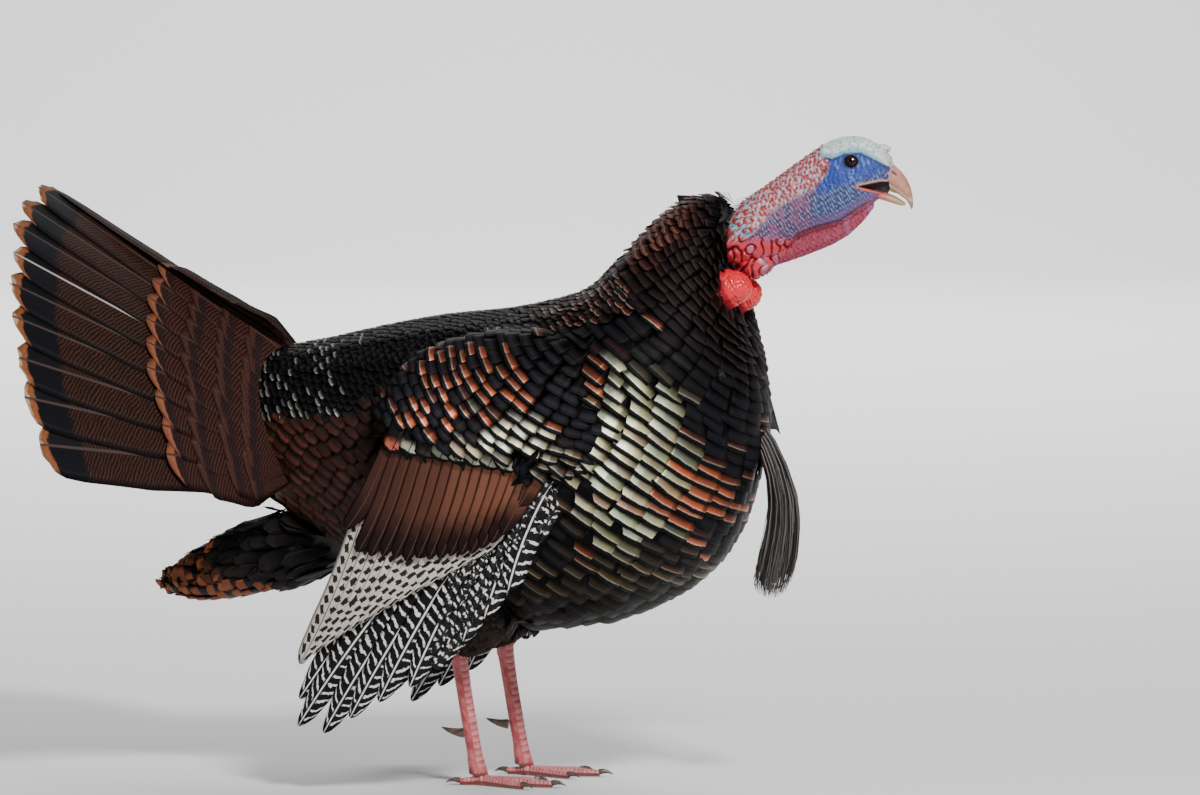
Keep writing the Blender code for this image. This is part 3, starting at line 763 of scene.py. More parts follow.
def rump_sides(surface, shoulder, panels):
    """Broad dark feathers with maroon-brown tips behind the wing, on both sides."""
    heights = surface.points @ RUMP_LIE
    along = np.array([0.82, 0.0, -0.57])
    coat = Coat()
    for sign, _ in SIDES:
        def keep(points):
            side = points[:, 1] * sign > 0.02
            low = points[:, 2] < back_line(points[:, 0]) + 0.010
            place = (points[:, 0] < -0.035) & (points[:, 2] > 0.285)
            return side & low & place & ~near(shoulder, points, 0.003)

        levels = np.arange(-0.40, 0.02, 0.0112)
        roots, up = level_roots(surface.side(sign), heights, levels, 0.0235, keep, lambda p: p @ along)
        hidden = covered(roots, panels)
        roots, up = roots[~hidden], up[~hidden]
        count = len(roots)
        chance = rng.uniform(size=(count, 4))
        dark = blob(roots, (-0.04, 0.14, 0.43), (0.07, 0.1, 0.06))
        tips = mix(mix(MAROON, RUFOUS, 0.25 * chance[:, 0] * ramp(roots[:, 0], -0.12, -0.22)), BLACK, dark)
        coat.add(root=roots, up=up, lie=RUMP_LIE + rng.normal(size=(count, 3)) * 0.03,
                 length=0.030 + 0.005 * chance[:, 3], width=0.0300 + 0.003 * chance[:, 0],
                 lift=0.0038, roll=-sign * 0.05, ground=BLACK, lustre=(0.020, 0.014, 0.012),
                 marks=columns(0.45, 0.78 + 0.06 * chance[:, 1], 0.4),
                 square=0.7, edge=tips * (0.40 + 0.55 * chance[:, 2:3]))
    return coat


def shoulders(surface, shoulder):
    """Coverts of the folded wing's shoulder: copper patches behind, pale streaks low in front."""
    coat = Coat()
    centre = np.array([0.200, 0.0, 0.575])
    heights = np.linalg.norm((surface.points - centre) * (1.0, 0.0, 1.0), axis=1)
    levels = np.arange(0.060, 0.33, 0.0108)

    def key(points):
        return np.arctan2(points[:, 2] - centre[2], points[:, 0] - centre[0])

    for sign, _ in SIDES:
        def keep(points):
            return (points[:, 1] * sign > 0.05) & near(shoulder, points, 0.0065)

        roots, up = level_roots(surface.side(sign, 0.03), heights, levels, 0.0178, keep, key)
        low = (roots[:, 2] < np.interp(roots[:, 0], (-0.07, 0.10), (0.402, 0.380))) & (roots[:, 0] < 0.105)
        outward = up[:, 1] * sign > np.interp(roots[:, 2], (0.430, 0.450), (0.50, -0.35))
        outward &= ~low
        roots, up = roots[outward], up[outward]
        count = len(roots)
        chance = rng.uniform(size=(count, 4))
        lustre = np.broadcast_to(np.array((0.014, 0.013, 0.018)), roots.shape)
        red = blob(roots, (0.042, 0.18, 0.458), (0.078, 0.2, 0.052))
        red = ramp(red + 1.1 * (chance[:, 0] - 0.66), 0.36, 0.66) * (0.45 + 0.55 * chance[:, 2])
        lustre = mix(lustre, COPPER, red)
        pale = blob(roots, (0.098, 0.18, 0.410), (0.050, 0.2, 0.032))
        lustre = mix(lustre, (0.74, 0.76, 0.62), ramp(pale + 0.6 * (chance[:, 1] - 0.5), 0.40, 0.72))
        brown = blob(roots, (0.145, 0.18, 0.385), (0.030, 0.2, 0.030))
        lustre = mix(lustre, (0.15, 0.12, 0.10), ramp(brown, 0.35, 0.6))
        lie = (roots - centre) * (1.0, 0.0, 1.0)
        coat.add(root=roots, up=up, lie=unit(lie) + rng.normal(size=(count, 3)) * 0.05,
                 length=0.0275 + 0.004 * chance[:, 3], width=0.0225 + 0.003 * chance[:, 0],
                 lift=0.0036, roll=sign * 0.07, square=0.9, ground=BLACK, lustre=lustre,
                 edge=(0.006, 0.006, 0.007), marks=(0.62, 0.86, 0.85))
    return coat


def body_plumage():
    """All small feathers of neck, trunk and shoulders."""
    parts = ("primaries", "secondaries", "bronze")
    panels = node_tree([f"wing_{part}_{side}" for part in parts for side in "LR"])
    shoulder = node_tree(["wing_shoulder_L", "wing_shoulder_R"])
    surface = surface_over(["trunk", "neck_ruff", "wing_shoulder_L", "wing_shoulder_R"], 0.005, 8)
    material = plumage_material("small_feathers")
    feather_piece("neck_and_breast_feathers", surface, neck_and_breast(surface, shoulder, panels),
                  material)
    feather_piece("back_feathers", surface, back(surface, shoulder), material)
    feather_piece("rump_feathers", surface, rump_sides(surface, shoulder, panels), material)
    feather_piece("shoulder_feathers", surface, shoulders(surface, shoulder), material,
                  replaces=("wing_shoulder_L", "wing_shoulder_R"))
    make_under_tail(material)
    make_thighs(material)
    leading_edge(spotted_material())


# ---------------------------------------------------------------- long feathers

QUILL_COLUMNS = np.array([-1.0, -0.72, -0.45, -0.2, -0.05, 0.0, 0.05, 0.2, 0.45, 0.72, 1.0])
TAIL_ROOT = np.array([-0.197, 0.0, 0.462])
TAIL_ROOT_REACH = (0.066, -0.116)
TAIL_ELEVATION = math.radians(33.5)
TAIL_SPREAD = math.radians(58.0)
TAIL_DROOP = math.radians(18.0)
TAIL_DROOP_POWER = 1.38
TAIL_FEATHERS = 9            # on each side
PRIMARY_TIPS = ((-0.163, 0.104), (-0.164, 0.074), (-0.132, 0.068), (-0.100, 0.086), (-0.066, 0.105),
                (-0.030, 0.122), (0.004, 0.146), (0.030, 0.174), (0.054, 0.200), (0.080, 0.230))
BRONZE_EDGE = ((-0.104, -0.090, -0.06, -0.01, 0.032, 0.07, 0.095),    # x then z of the bronze panel's edge
               (0.294, 0.271, 0.264, 0.262, 0.268, 0.284, 0.330))
SECONDARIES = 15
BRONZE_COVERTS = 16
BAND_COVERTS = 9
FAN_OUTLINE = ((0.0, 0.25, 0.55, 0.85, 0.95, 1.0), (0.28, 0.62, 0.92, 1.0, 0.95, 0.80))
WING_LAYER = 0.0064
SHEEN = 0.12                 # specular level of the long feathers


def tail_point(turn, reach, sign):
    """Points of the tail's fan: turn runs 0 to 1 from the middle out, reach from the root."""
    rear = np.array([-math.cos(TAIL_ELEVATION), 0.0, math.sin(TAIL_ELEVATION)])
    above = np.array([math.sin(TAIL_ELEVATION), 0.0, math.cos(TAIL_ELEVATION)])
    droop = TAIL_DROOP * np.maximum(turn, 0.0) ** TAIL_DROOP_POWER
    side = np.zeros(turn.shape + (3,))
    side[..., 1] = sign * np.cos(droop)
    side = side - above * np.sin(droop)[..., None]
    spread = TAIL_SPREAD * turn
    root = np.broadcast_to(TAIL_ROOT, side.shape).copy()
    root[..., 1] += sign * TAIL_ROOT_REACH[0] * turn
    root[..., 2] += TAIL_ROOT_REACH[1] * turn
    away = rear * np.cos(spread)[..., None] + side * np.sin(spread)[..., None]
    return root + away * reach[..., None]


def grid_normals(grid):
    """Normals of grids of points shaped feather, row, column."""
    along = np.gradient(grid, axis=1)
    across = np.gradient(grid, axis=2)
    return unit(np.cross(along, across))


def quill_feathers(name, grids, lengths, half, material, outward, replaces=(), shaft=0.0007,
                   under=0.0008):
    """Long feathers from grids of points, with a raised shaft, a closed underside and own islands."""
    grids = np.array(grids)
    count, rows, across = grids.shape[:3]
    v = np.linspace(0.0, 1.0, rows)
    normals = grid_normals(grids)
    normals = normals * np.sign(np.sum(normals * outward, axis=3, keepdims=True))
    ridge = np.exp(-(QUILL_COLUMNS / 0.04) ** 2)
    top = grids + normals * (shaft * ridge[None, None, :] * (1.0 - 0.85 * v)[None, :, None])[..., None]
    middle = across // 2
    below = grids[:, :, middle] - normals[:, :, middle] * under
    size = rows * across + rows
    local, chance = vane_places(count, QUILL_COLUMNS, v, SEED + count)
    cell = 1.0 / count
    spot = columns(np.repeat(np.arange(count), size) * cell + cell * (0.52 + 0.44 * local[:, 0]),
                   0.02 + 0.96 * local[:, 1])
    mesh = vane_mesh(name, top, below, spot)
    store(mesh, "vane", 'FLOAT_VECTOR', np.column_stack([local, chance]))
    store(mesh, "span", 'FLOAT_VECTOR', columns(np.repeat(lengths, size), half, 0.0))
    place_piece(name, mesh, material, replaces)


def fan_grid(sign, turn, start, length, width, lift, tilt, rows, tip_round=0.055, fray=0.0):
    """The grid of one feather of the fan, laid on the fan's own surface."""
    v = np.linspace(0.0, 1.0, rows)[:, None]
    u = QUILL_COLUMNS[None, :]
    half = 0.5 * width * np.interp(v, *FAN_OUTLINE)
    reach = start + (length - start) * (v - tip_round * np.abs(u) ** 2.2 * v ** 6)
    ragged = np.random.default_rng(int(1e6 * turn)).uniform(-fray, fray, (1, len(QUILL_COLUMNS)))
    reach = reach + ragged * ramp(v, 0.93, 1.0)
    spacing = TAIL_SPREAD * np.maximum(reach, 0.06)
    where = turn + u * half / spacing
    grid = tail_point(where, reach, sign)
    step = 0.004
    along = tail_point(where, reach + step, sign) - grid
    across = tail_point(where + step, reach, sign) - grid
    normal = unit(np.cross(along, across))
    normal *= np.sign(normal[..., 2:3])
    rise = lift + tilt * u + 0.0012 * (1.0 - u * u)
    return grid + normal * rise[..., None]


def make_tail():
    """Eighteen tail feathers in a half-raised fan, and four rows of coverts over their roots."""
    grids, lengths = [], []
    draw = np.random.default_rng(SEED + 1)
    for sign, _ in SIDES:
        for k in range(TAIL_FEATHERS):
            turn = (k + 0.5) / TAIL_FEATHERS
            length = 0.384 + (0.340 - 0.384) * turn ** 2 + draw.uniform(-0.003, 0.003)
            grids.append(fan_grid(sign, turn + draw.uniform(-0.006, 0.006), 0.03, length, 0.0570,
                                  -0.0008 - 0.0004 * k, 0.0016, 36, 0.038, 0.0030))
            lengths.append(length)
    up = np.array([0.3, 0.0, 1.0])
    quill_feathers("tail_feathers", grids, lengths, 0.028, tail_material(), up,
                   ("tail_L", "tail_R"))
    grids, lengths = [], []
    for row, (reach, edge, count) in enumerate(((0.215, 0.172, 9), (0.168, 0.135, 10), (0.125, 0.102, 11),
                                                (0.088, 0.075, 12))):
        for sign, _ in SIDES:
            for k in range(count):
                turn = (k + 0.35 + 0.3 * (row % 2)) / count * 1.02
                length = reach + (edge - reach) * turn ** 2 + draw.uniform(-0.004, 0.004)
                grids.append(fan_grid(sign, turn, 0.004, length, 0.044 - 0.006 * row, 0.0022 + 0.0013 * row,
                                      0.0014, 14, 0.10))
                lengths.append(length)
    quill_feathers("tail_coverts", grids, lengths, 0.020, covert_material(), up,
                   ("tail_coverts_L", "tail_coverts_R"), shaft=0.0004)


def wing_side(x, z):
    """How far the folded wing's inner face stands from the middle of the body."""
    rise = np.maximum(z - 0.34, 0.0) / 0.215
    width = 0.176 * np.sqrt(np.maximum(1.0 - rise * rise, 0.05))
    width = width + 0.012 * np.maximum(0.30 - z, 0.0) / 0.20
    width = width - 0.020 * (np.maximum(x - 0.03, 0.0) / 0.14) ** 2
    return width - 0.020 * (np.maximum(-x - 0.02, 0.0) / 0.14) ** 2


def wing_grid(sign, root, tip, bow, width, out, tilt, rows, tip_round=0.05, narrow=0.55):
    """The grid of one wing feather, drawn in x and z and laid on the side of the body."""
    v = np.linspace(0.0, 1.0, rows)[:, None]
    u = QUILL_COLUMNS[None, :]
    root, tip = np.array(root), np.array(tip)
    length = np.linalg.norm(tip - root)
    ahead = (tip - root) / length
    across = np.array([ahead[1], -ahead[0]])
    half = 0.5 * width * np.interp(v, (0.0, 0.3, 0.75, 0.93, 1.0), (0.6, 0.95, 1.0, 0.80, narrow))
    place = v - tip_round * np.abs(u) ** 2.0 * v ** 5
    bend = bow * 4 * v * (1 - v)
    x = root[0] + ahead[0] * length * place + across[0] * (u * half + bend)
    z = root[1] + ahead[1] * length * place + across[1] * (u * half + bend)
    y = wing_side(x, z) + out + tilt * u + 0.0008 * (1.0 - u * u)
    return np.stack([x, sign * y, z], axis=-1)


def primary_grid(sign, k, _):
    """One primary, from the rear of the folded wing forward."""
    root = (0.075 + 0.0088 * k, 0.372 + 0.0018 * k)
    return wing_grid(sign, root, PRIMARY_TIPS[k], 0.010, 0.034, 0.0004 + 0.00034 * k, 0.0007, 40)


def secondary_grid(sign, k, _):
    """One secondary, from the rear of the folded wing forward."""
    t = k / (SECONDARIES - 1)
    tip = (-0.160 + 0.205 * t, 0.143 + 0.122 * t ** 0.9)
    root = (tip[0] + 0.083, tip[1] + 0.20 - 0.03 * t)
    out = WING_LAYER + 0.0028 - 0.00014 * k
    return wing_grid(sign, root, tip, -0.008, 0.027, out, -0.0006, 30, 0.06, 0.62)


def bronze_grid(sign, k, draw):
    """One of the bronze greater coverts, from the front backward."""
    t = k / (BRONZE_COVERTS - 1)
    x = 0.116 - 0.168 * t - 0.014 * t ** 3
    tip_x = x - 0.030 - 0.008 * t ** 3
    tip = (tip_x, float(np.interp(tip_x, *BRONZE_EDGE)) + draw.uniform(-0.002, 0.002))
    root = (x + 0.010, 0.402 - 0.016 * t ** 3)
    out = 2 * WING_LAYER + 0.0010 + 0.00015 * k
    return wing_grid(sign, root, tip, -0.006, 0.0225, out, 0.0012, 16, 0.09, 0.72)


def band_grid(sign, k, _):
    """One of the larger dark coverts between the shoulder and the bronze row."""
    t = k / (BAND_COVERTS - 1)
    tip = (0.096 - 0.146 * t, 0.358 + 0.022 * t)
    root = (tip[0] + 0.018, tip[1] + 0.050)
    out = 2 * WING_LAYER + np.linspace(0.0130, 0.0075, 12)[:, None] + 0.0002 * k
    return wing_grid(sign, root, tip, -0.002, 0.029, out, 0.0014, 12, 0.09, 0.80)


def make_wings():
    """The folded wings' long feathers, row by row from the body outward."""
    draw = np.random.default_rng(SEED + 2)
    for label, grid, count, material, slot, shaft in (
            ("primaries", primary_grid, len(PRIMARY_TIPS), primary_material(), "barred_plumage", 0.0006),
            ("secondaries", secondary_grid, SECONDARIES, secondary_material(), "barred_plumage", 0.0006),
            ("bronze", bronze_grid, BRONZE_COVERTS, bronze_material(), "bronze_plumage", 0.0006),
            ("band", band_grid, BAND_COVERTS, band_material(), "plumage", 0.0003)):
        grids = np.array([grid(sign, k, draw) for sign, _ in SIDES for k in range(count)])
        outward = np.zeros(grids.shape)
        outward[..., 1] = np.sign(grids[..., 1])
        lengths = np.linalg.norm(grids[:, -1, 5] - grids[:, 0, 5], axis=1)
        nodes = () if label == "band" else tuple(f"wing_{label}_{side}" for side in "LR")
        quill_feathers("wing_" + label, grids, lengths, 0.014, material, outward, nodes, shaft, 0.0006)


class Quill(Shader):
    """A long feather's material, with the values that all of them start from."""

    def __init__(self, name):
        super().__init__(name)
        self.u, v, self.chance = self.parts(self.attribute("vane"))
        self.length, half, _ = self.parts(self.attribute("span"))
        self.side = abs(self.u)
        self.along = v * self.length
        self.left = self.length - self.along
        self.grain = self.noise(420.0, detail=3.0)
        self.coarse = self.noise(70.0, detail=2.0)
        self.barb = self.along - self.side * half * 0.9

    def wave(self, place, pitch, ragged):
        """A wave along the feather with ragged edges."""
        return self.sine(place * (2 * math.pi / pitch)) + (self.grain - 0.5) * ragged

    def ends(self, ragged):
        """The distance to the tip, with a ragged edge."""
        return self.left + (self.coarse - 0.5) * ragged

    def finish(self, colour, shaft, rough, metal=0.0, shaft_wide=0.055):
        """Fine barb lines, the shaft's colour and the surface's gloss."""
        comb = self.sine(self.barb * (2 * math.pi / 0.0011))
        colour = self.shade(colour, 0.80 + self.grain * 0.30 + comb * 0.06)
        colour = self.mix(self.smooth(self.side, shaft_wide, shaft_wide * 0.6), colour, shaft)
        self.set(Base_Color=colour, Metallic=metal, Roughness=rough + self.grain * 0.12,
                 Specular_IOR_Level=SHEEN)
        self.bump(comb * 0.35 + self.grain, 0.0004, 0.5)
        return self.material


def tail_material():
    """Chestnut tip, black band, then fine chestnut bars on black."""
    s = Quill("tail_feathers")
    bars = s.smooth(s.wave(s.barb + (s.coarse - 0.5) * 0.008, 0.0052, 2.2), -0.35, 0.75)
    brown = s.mix(s.coarse, (0.034, 0.012, 0.007), (0.078, 0.027, 0.014))
    colour = s.mix(bars, (0.008, 0.005, 0.005), brown)
    # The vane's edges darkened to near black: painted shade where the feathers overlap.
    colour = s.mix(s.smooth(s.side, 0.72, 0.98) * 0.75, colour, (0.009, 0.007, 0.008))
    ends = s.ends(0.012)
    colour = s.mix(s.smooth(ends, 0.066, 0.056), colour, (0.005, 0.005, 0.007))
    tip = s.mix(s.grain, (0.16, 0.042, 0.016), (0.32, 0.115, 0.046))
    tip = s.mix(s.smooth(ends, 0.0050, 0.0005), tip, (0.52, 0.32, 0.18))
    colour = s.mix(s.smooth(ends, 0.0145, 0.0105), colour, tip)
    # A few shafts painted pale: painted highlights along them.
    shaft = s.mix(s.smooth(s.chance, 0.86, 0.88), (0.060, 0.040, 0.036), (0.42, 0.36, 0.34))
    return s.finish(colour, shaft, 0.50)


def covert_material():
    """Rufous brown with fine dark bars and a brighter tip."""
    s = Quill("tail_coverts")
    bars = s.smooth(s.wave(s.barb, 0.0046, 2.0), -0.5, 0.9)
    colour = s.mix(bars, (0.013, 0.0055, 0.005), (0.062, 0.019, 0.013))
    colour = s.mix(s.smooth(s.left, 0.026, 0.020) * 0.7, colour, (0.012, 0.007, 0.008))
    tip = s.mix(s.grain, (0.20, 0.060, 0.030), (0.33, 0.115, 0.055))
    outer = 0.12 + s.smooth(s.length, 0.1685, 0.1715) * 0.8
    colour = s.mix(s.smooth(s.left, 0.0125, 0.0095) * outer, colour, tip)
    return s.finish(colour, (0.055, 0.028, 0.022), 0.52)


def primary_material():
    """Black with broken white bars and white shafts."""
    s = Quill("primaries")
    place = s.along + s.chance * 0.011 + (s.side * 0.0035 + (s.coarse - 0.5) * 0.014)
    bars = s.smooth(s.wave(place, 0.0125, 1.5), 0.55, 0.80) * s.smooth(s.side, 0.12, 0.30)
    colour = s.mix(bars, (0.007, 0.006, 0.007), (0.80, 0.79, 0.76))
    return s.finish(colour, (0.78, 0.77, 0.74), 0.42, shaft_wide=0.075)


def secondary_material():
    """Pale tan with separate dark spots on both sides of the shaft."""
    s = Quill("secondaries")
    half_turn = s.smooth(s.u, -0.05, 0.05) * 0.0062
    place = s.along + s.chance * 0.010 + (s.side * 0.006 + half_turn) + (s.coarse - 0.5) * 0.014
    centre = abs(s.math('FRACT', place / 0.0125) - 0.5)
    away = centre * 3.1 + abs(s.side - 0.47) * 3.7 + (s.grain - 0.5) * 1.4
    pale = s.mix(s.coarse, (0.46, 0.40, 0.35), (0.70, 0.63, 0.57))
    colour = s.mix(s.smooth(away, 1.38, 1.12), pale, (0.020, 0.016, 0.014))
    return s.finish(colour, (0.10, 0.08, 0.07), 0.50)


def bronze_material():
    """Coppery bronze that darkens to the tip, painted lighter towards the front as a highlight and darker to
    the rear as shade.
    """
    s = Quill("bronze_coverts")
    warm = s.mix(s.chance, (0.24, 0.088, 0.050), (0.36, 0.145, 0.085))
    streak = s.noise(60.0, s.join(s.barb * 30.0, s.u, s.chance), 2.0)
    # Lighter towards the front and darker maroon to the rear: a painted highlight and painted shade across
    # the panel.
    front = s.smooth(s.parts(s.place())[0], -0.07, 0.11)
    warm = s.mix(front, (0.085, 0.036, 0.028), warm)
    colour = s.mix(streak, s.mix(front, (0.040, 0.017, 0.014), (0.17, 0.062, 0.038)), warm)
    # Edges darkened: partly painted shade where the coverts overlap.
    colour = s.mix(s.smooth(s.side, 0.70, 1.0), colour, (0.075, 0.028, 0.020))
    colour = s.mix(s.smooth(s.ends(0.02), 0.062, 0.012), colour, (0.018, 0.010, 0.009))
    return s.finish(colour, (0.12, 0.05, 0.035), 0.30, 0.55)


def leading_edge(material):
    """Small black and white feathers along the wing's front edge, over the primaries' roots."""
    coat = Coat()
    edge_x = (0.168, 0.160, 0.112, 0.074, 0.044, 0.010)
    edge_z = (0.400, 0.350, 0.287, 0.222, 0.190, 0.150)
    run = np.concatenate([[0.0], np.cumsum(np.hypot(np.diff(edge_x), np.diff(edge_z)))])
    draw = np.random.default_rng(SEED + 4)
    for sign, _ in SIDES:
        roots, lies = [], []
        for column in range(7):
            for place in np.arange(0.0, run[-1] * (0.98 - 0.07 * column), 0.0115):
                place = place + 0.0055 * (column % 2)
                x, z = np.interp(place, run, edge_x), np.interp(place, run, edge_z)
                x = x - 0.005 - 0.0105 * column + draw.uniform(-0.001, 0.001)
                z = z + 0.004 + 0.0035 * column
                y = wing_side(x, z) + 0.0044 + 0.0004 * column
                roots.append((x, sign * y, z))
                lies.append((-0.48, 0.0, -0.88))
        roots = np.array(roots)
        count = len(roots)
        up = np.tile((0.25, sign, 0.0), (count, 1))
        chance = draw.uniform(size=(count, 4))
        coat.add(root=roots, up=unit(up), lie=np.array(lies) + draw.normal(size=(count, 3)) * 0.06,
                 length=0.026 + 0.005 * chance[:, 0], width=0.0145 + 0.002 * chance[:, 1], lift=0.0020,
                 roll=sign * 0.10, ground=BLACK, lustre=(0.72, 0.71, 0.68), edge=(0.74, 0.73, 0.70),
                 marks=columns(chance[:, 2], chance[:, 3], 0.0))
    surface = surface_over(["wing_primaries_L", "wing_primaries_R"], 0.004, 4)
    feather_piece("wing_edge_feathers", surface, coat, material, tip_width=0.74)


def spotted_material():
    """Black with white crescents at the tip and across the middle."""
    s = Shader("spotted_feathers")
    u, v, chance = s.parts(s.attribute("vane"))
    side = abs(u)
    grain = s.noise(500.0, detail=3.0)
    place = v + (grain - 0.5) * 0.25 + side * 0.10
    wave = s.sine((place + chance * 0.3) * (2 * math.pi / 0.40))
    spots = s.smooth(wave, 0.55, 0.80) * s.smooth(side, 0.08, 0.30) * s.smooth(side, 1.0, 0.72)
    colour = s.mix(spots, (0.012, 0.011, 0.011), (0.72, 0.71, 0.68))
    s.set(Base_Color=colour, Roughness=0.40 + grain * 0.15, Specular_IOR_Level=SHEEN)
    s.bump(grain, 0.0004, 0.5)
    return s.material


def band_material():
    """Dark coverts with a lustrous bar before the tip: copper at the rear, olive in front."""
    s = Quill("shoulder_band")
    rear = s.smooth(s.parts(s.place())[0], -0.022, -0.036)
    olive = s.mix(s.smooth(s.chance, 0.2, 0.9), (0.030, 0.027, 0.026), (0.40, 0.42, 0.31))
    bar = s.mix(rear, olive, (0.50, 0.125, 0.070))
    ends = s.ends(0.008)
    colour = s.mix(s.smooth(ends, 0.019, 0.008), (0.009, 0.008, 0.008), bar)
    colour = s.mix(s.smooth(ends, 0.0050, 0.0036), colour, (0.005, 0.005, 0.005))
    return s.finish(colour, (0.010, 0.009, 0.009), 0.40, 0.30)


def make_under_tail(material):
    """Black fluff below the tail, rufous-tipped coverts and one long feather on each side."""
    surface = surface_over(["under_tail"], 0.004, 6)
    heights = -surface.points[:, 0] - 0.25 * surface.points[:, 2]

    def keep(points):
        return points[:, 0] < -0.135

    def key(points):
        middle = points.mean(axis=0)
        return np.arctan2(points[:, 1], points[:, 2] - middle[2])

    levels = np.arange(0.08, 0.305, 0.015)
    roots, up = level_roots(surface, heights, levels, 0.021, keep, key)
    count = len(roots)
    chance = rng.uniform(size=(count, 4))
    low = ramp(roots[:, 2] + 0.16 * (roots[:, 0] + 0.25), 0.243, 0.234)
    rear = ramp(roots[:, 0], -0.262, -0.270) * ramp(roots[:, 2], 0.275, 0.262)
    low = np.maximum(low, rear)
    fluff = 1.0 - low
    tips = mix((0.010, 0.008, 0.008), mix(np.array(RUFOUS) * 0.7, MAROON, chance[:, 0] * 0.5), low)
    stray = rng.normal(size=(count, 3)) * (0.05 + 0.12 * fluff[:, None])
    coat = Coat()
    coat.add(root=roots, up=up, lie=np.array((-0.93, 0.0, -0.18)) + stray,
             length=0.042 + 0.012 * fluff + 0.008 * chance[:, 3],
             width=0.028 + 0.004 * chance[:, 1] - 0.008 * fluff, lift=0.0040 + 0.0030 * fluff,
             square=0.9 * low, roll=0.05 * (chance[:, 2] - 0.5), ground=BLACK,
             lustre=(0.008, 0.007, 0.008), edge=tips, marks=(0.4, 0.79, 0.3))
    lone = np.array([(-0.226, -0.036, 0.262), (-0.226, 0.036, 0.262)])
    coat.add(root=lone, up=unit(lone * (0.0, 1.0, 0.0) + (0.0, 0.0, 0.02)), lie=(-0.985, 0.0, -0.16),
             length=0.084, width=0.036, lift=0.006, square=0.8, ground=BLACK,
             lustre=(0.020, 0.017, 0.018), edge=RUFOUS, marks=(0.4, 0.88, 0.3))
    feather_piece("under_tail_feathers", surface, coat, material, tip_width=0.80)


def make_thighs(material):
    """Loose black feathers of the thighs, down to the hock."""
    surface = surface_over(["thigh_L", "thigh_R"], 0.004, 4)
    levels = np.arange(-0.250, -0.152, 0.0075)

    def key(points):
        middle = points.mean(axis=0)
        return np.arctan2(points[:, 1] - middle[1], points[:, 0] - middle[0])

    coat = Coat()
    for sign, _ in SIDES:
        roots, up = level_roots(surface.side(sign), -surface.points[:, 2], levels, 0.0085,
                                lambda points: points[:, 2] > 0.1, key)
        count = len(roots)
        chance = rng.uniform(size=(count, 4))
        coat.add(root=roots, up=up, lie=np.array((-0.15, 0.0, -1.0)) + rng.normal(size=(count, 3)) * 0.08,
                 length=np.minimum(0.026 + 0.006 * chance[:, 3], np.maximum(roots[:, 2] - 0.140, 0.010)),
                 width=0.0105 + 0.002 * chance[:, 1], lift=0.0032, roll=0.1 * (chance[:, 2] - 0.5),
                 ground=BLACK, lustre=(0.016, 0.013, 0.012), edge=(0.030, 0.020, 0.016),
                 marks=(0.5, 0.8, 0.0))
    feather_piece("thigh_feathers", surface, coat, material, tip_width=0.6)


# ---------------------------------------------------------------- skin, head and neck

EYE = np.array([0.4290, 0.0145, 0.6990])
EYE_RADIUS = 0.0085
LID_RADIUS = 0.0097
EYE_OPENING = (0.0076, 0.0067)   # half width and half height between the lids
NECK_CUT = (0.240, 0.0, 0.600)   # where the fine skin of head and neck meets the coarse skin
NECK_AXIS = Vector((0.914, 0.0, 0.406))
NECK_RUN = np.array([0.86, 0.0, 0.51])
HEAD_VOXEL = 0.0009
BODY_VOXEL = 0.0055
FRONT_FACES = 150000             # triangles of the skin in front of the neck's cut
COAT_DEPTH = 0.0065
FLESH = ("trunk", "neck_ruff", "neck_bare", "head", "dewlap", "snood", "wattle_R", "wattle_L", "caruncles",
         "under_tail", "thigh_L", "thigh_R")
WATTLES = (((0.2890, -0.0340, 0.5570), (0.0265, 0.0200, 0.0195)),
           ((0.2980, 0.0185, 0.5490), (0.0160, 0.0170, 0.0170)))
WATTLE_SHIFT = np.array([0.0060, -0.0030, 0.0020])

# Lines of the head in profile: x then z
BROW = ((0.385, 0.397, 0.4081, 0.4212, 0.4394, 0.4535, 0.4676, 0.478),
        (0.7010, 0.7040, 0.7015, 0.7072, 0.7085, 0.7010, 0.6935, 0.6880))
THROAT = ((0.330, 0.341, 0.3478, 0.3678, 0.3896, 0.4147, 0.4398, 0.460),
          (0.580, 0.588, 0.5993, 0.6188, 0.6269, 0.6334, 0.6500, 0.662))
BEADED = ((0.300, 0.324, 0.3516, 0.385), (0.600, 0.622, 0.6503, 0.667))
FACE_REAR = ((0.638, 0.652, 0.665, 0.674, 0.684, 0.697, 0.708),    # z then x
             (0.386, 0.388, 0.389, 0.392, 0.403, 0.405, 0.398))
MOUTH = ((0.4364, 0.4450, 0.4600, 0.4800), (0.6715, 0.6712, 0.6708, 0.6700))
MOUTH_HALF = ((0.4364, 0.4450, 0.4600), (0.0004, 0.0024, 0.0062))


def front_part(nodes, depth):
    """Copies of nodes cut off behind the neck and closed again, as one mesh in the frame."""
    place = Vector(NECK_CUT) + Vector(SHIFT) - NECK_AXIS * depth
    whole = bmesh.new()
    for node in nodes:
        shape = bmesh.new()
        shape.from_mesh(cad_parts[node].data)
        bmesh.ops.remove_doubles(shape, verts=shape.verts, dist=1e-6)
        geometry = shape.verts[:] + shape.edges[:] + shape.faces[:]
        bmesh.ops.bisect_plane(shape, geom=geometry, plane_co=place, plane_no=NECK_AXIS, clear_inner=True)
        open_edges = [edge for edge in shape.edges if edge.is_boundary]
        if open_edges:
            bmesh.ops.holes_fill(shape, edges=open_edges, sides=0)
        part = finished(shape, "part")
        whole.from_mesh(part)
        bpy.data.meshes.remove(part)
    return finished(whole, "front")


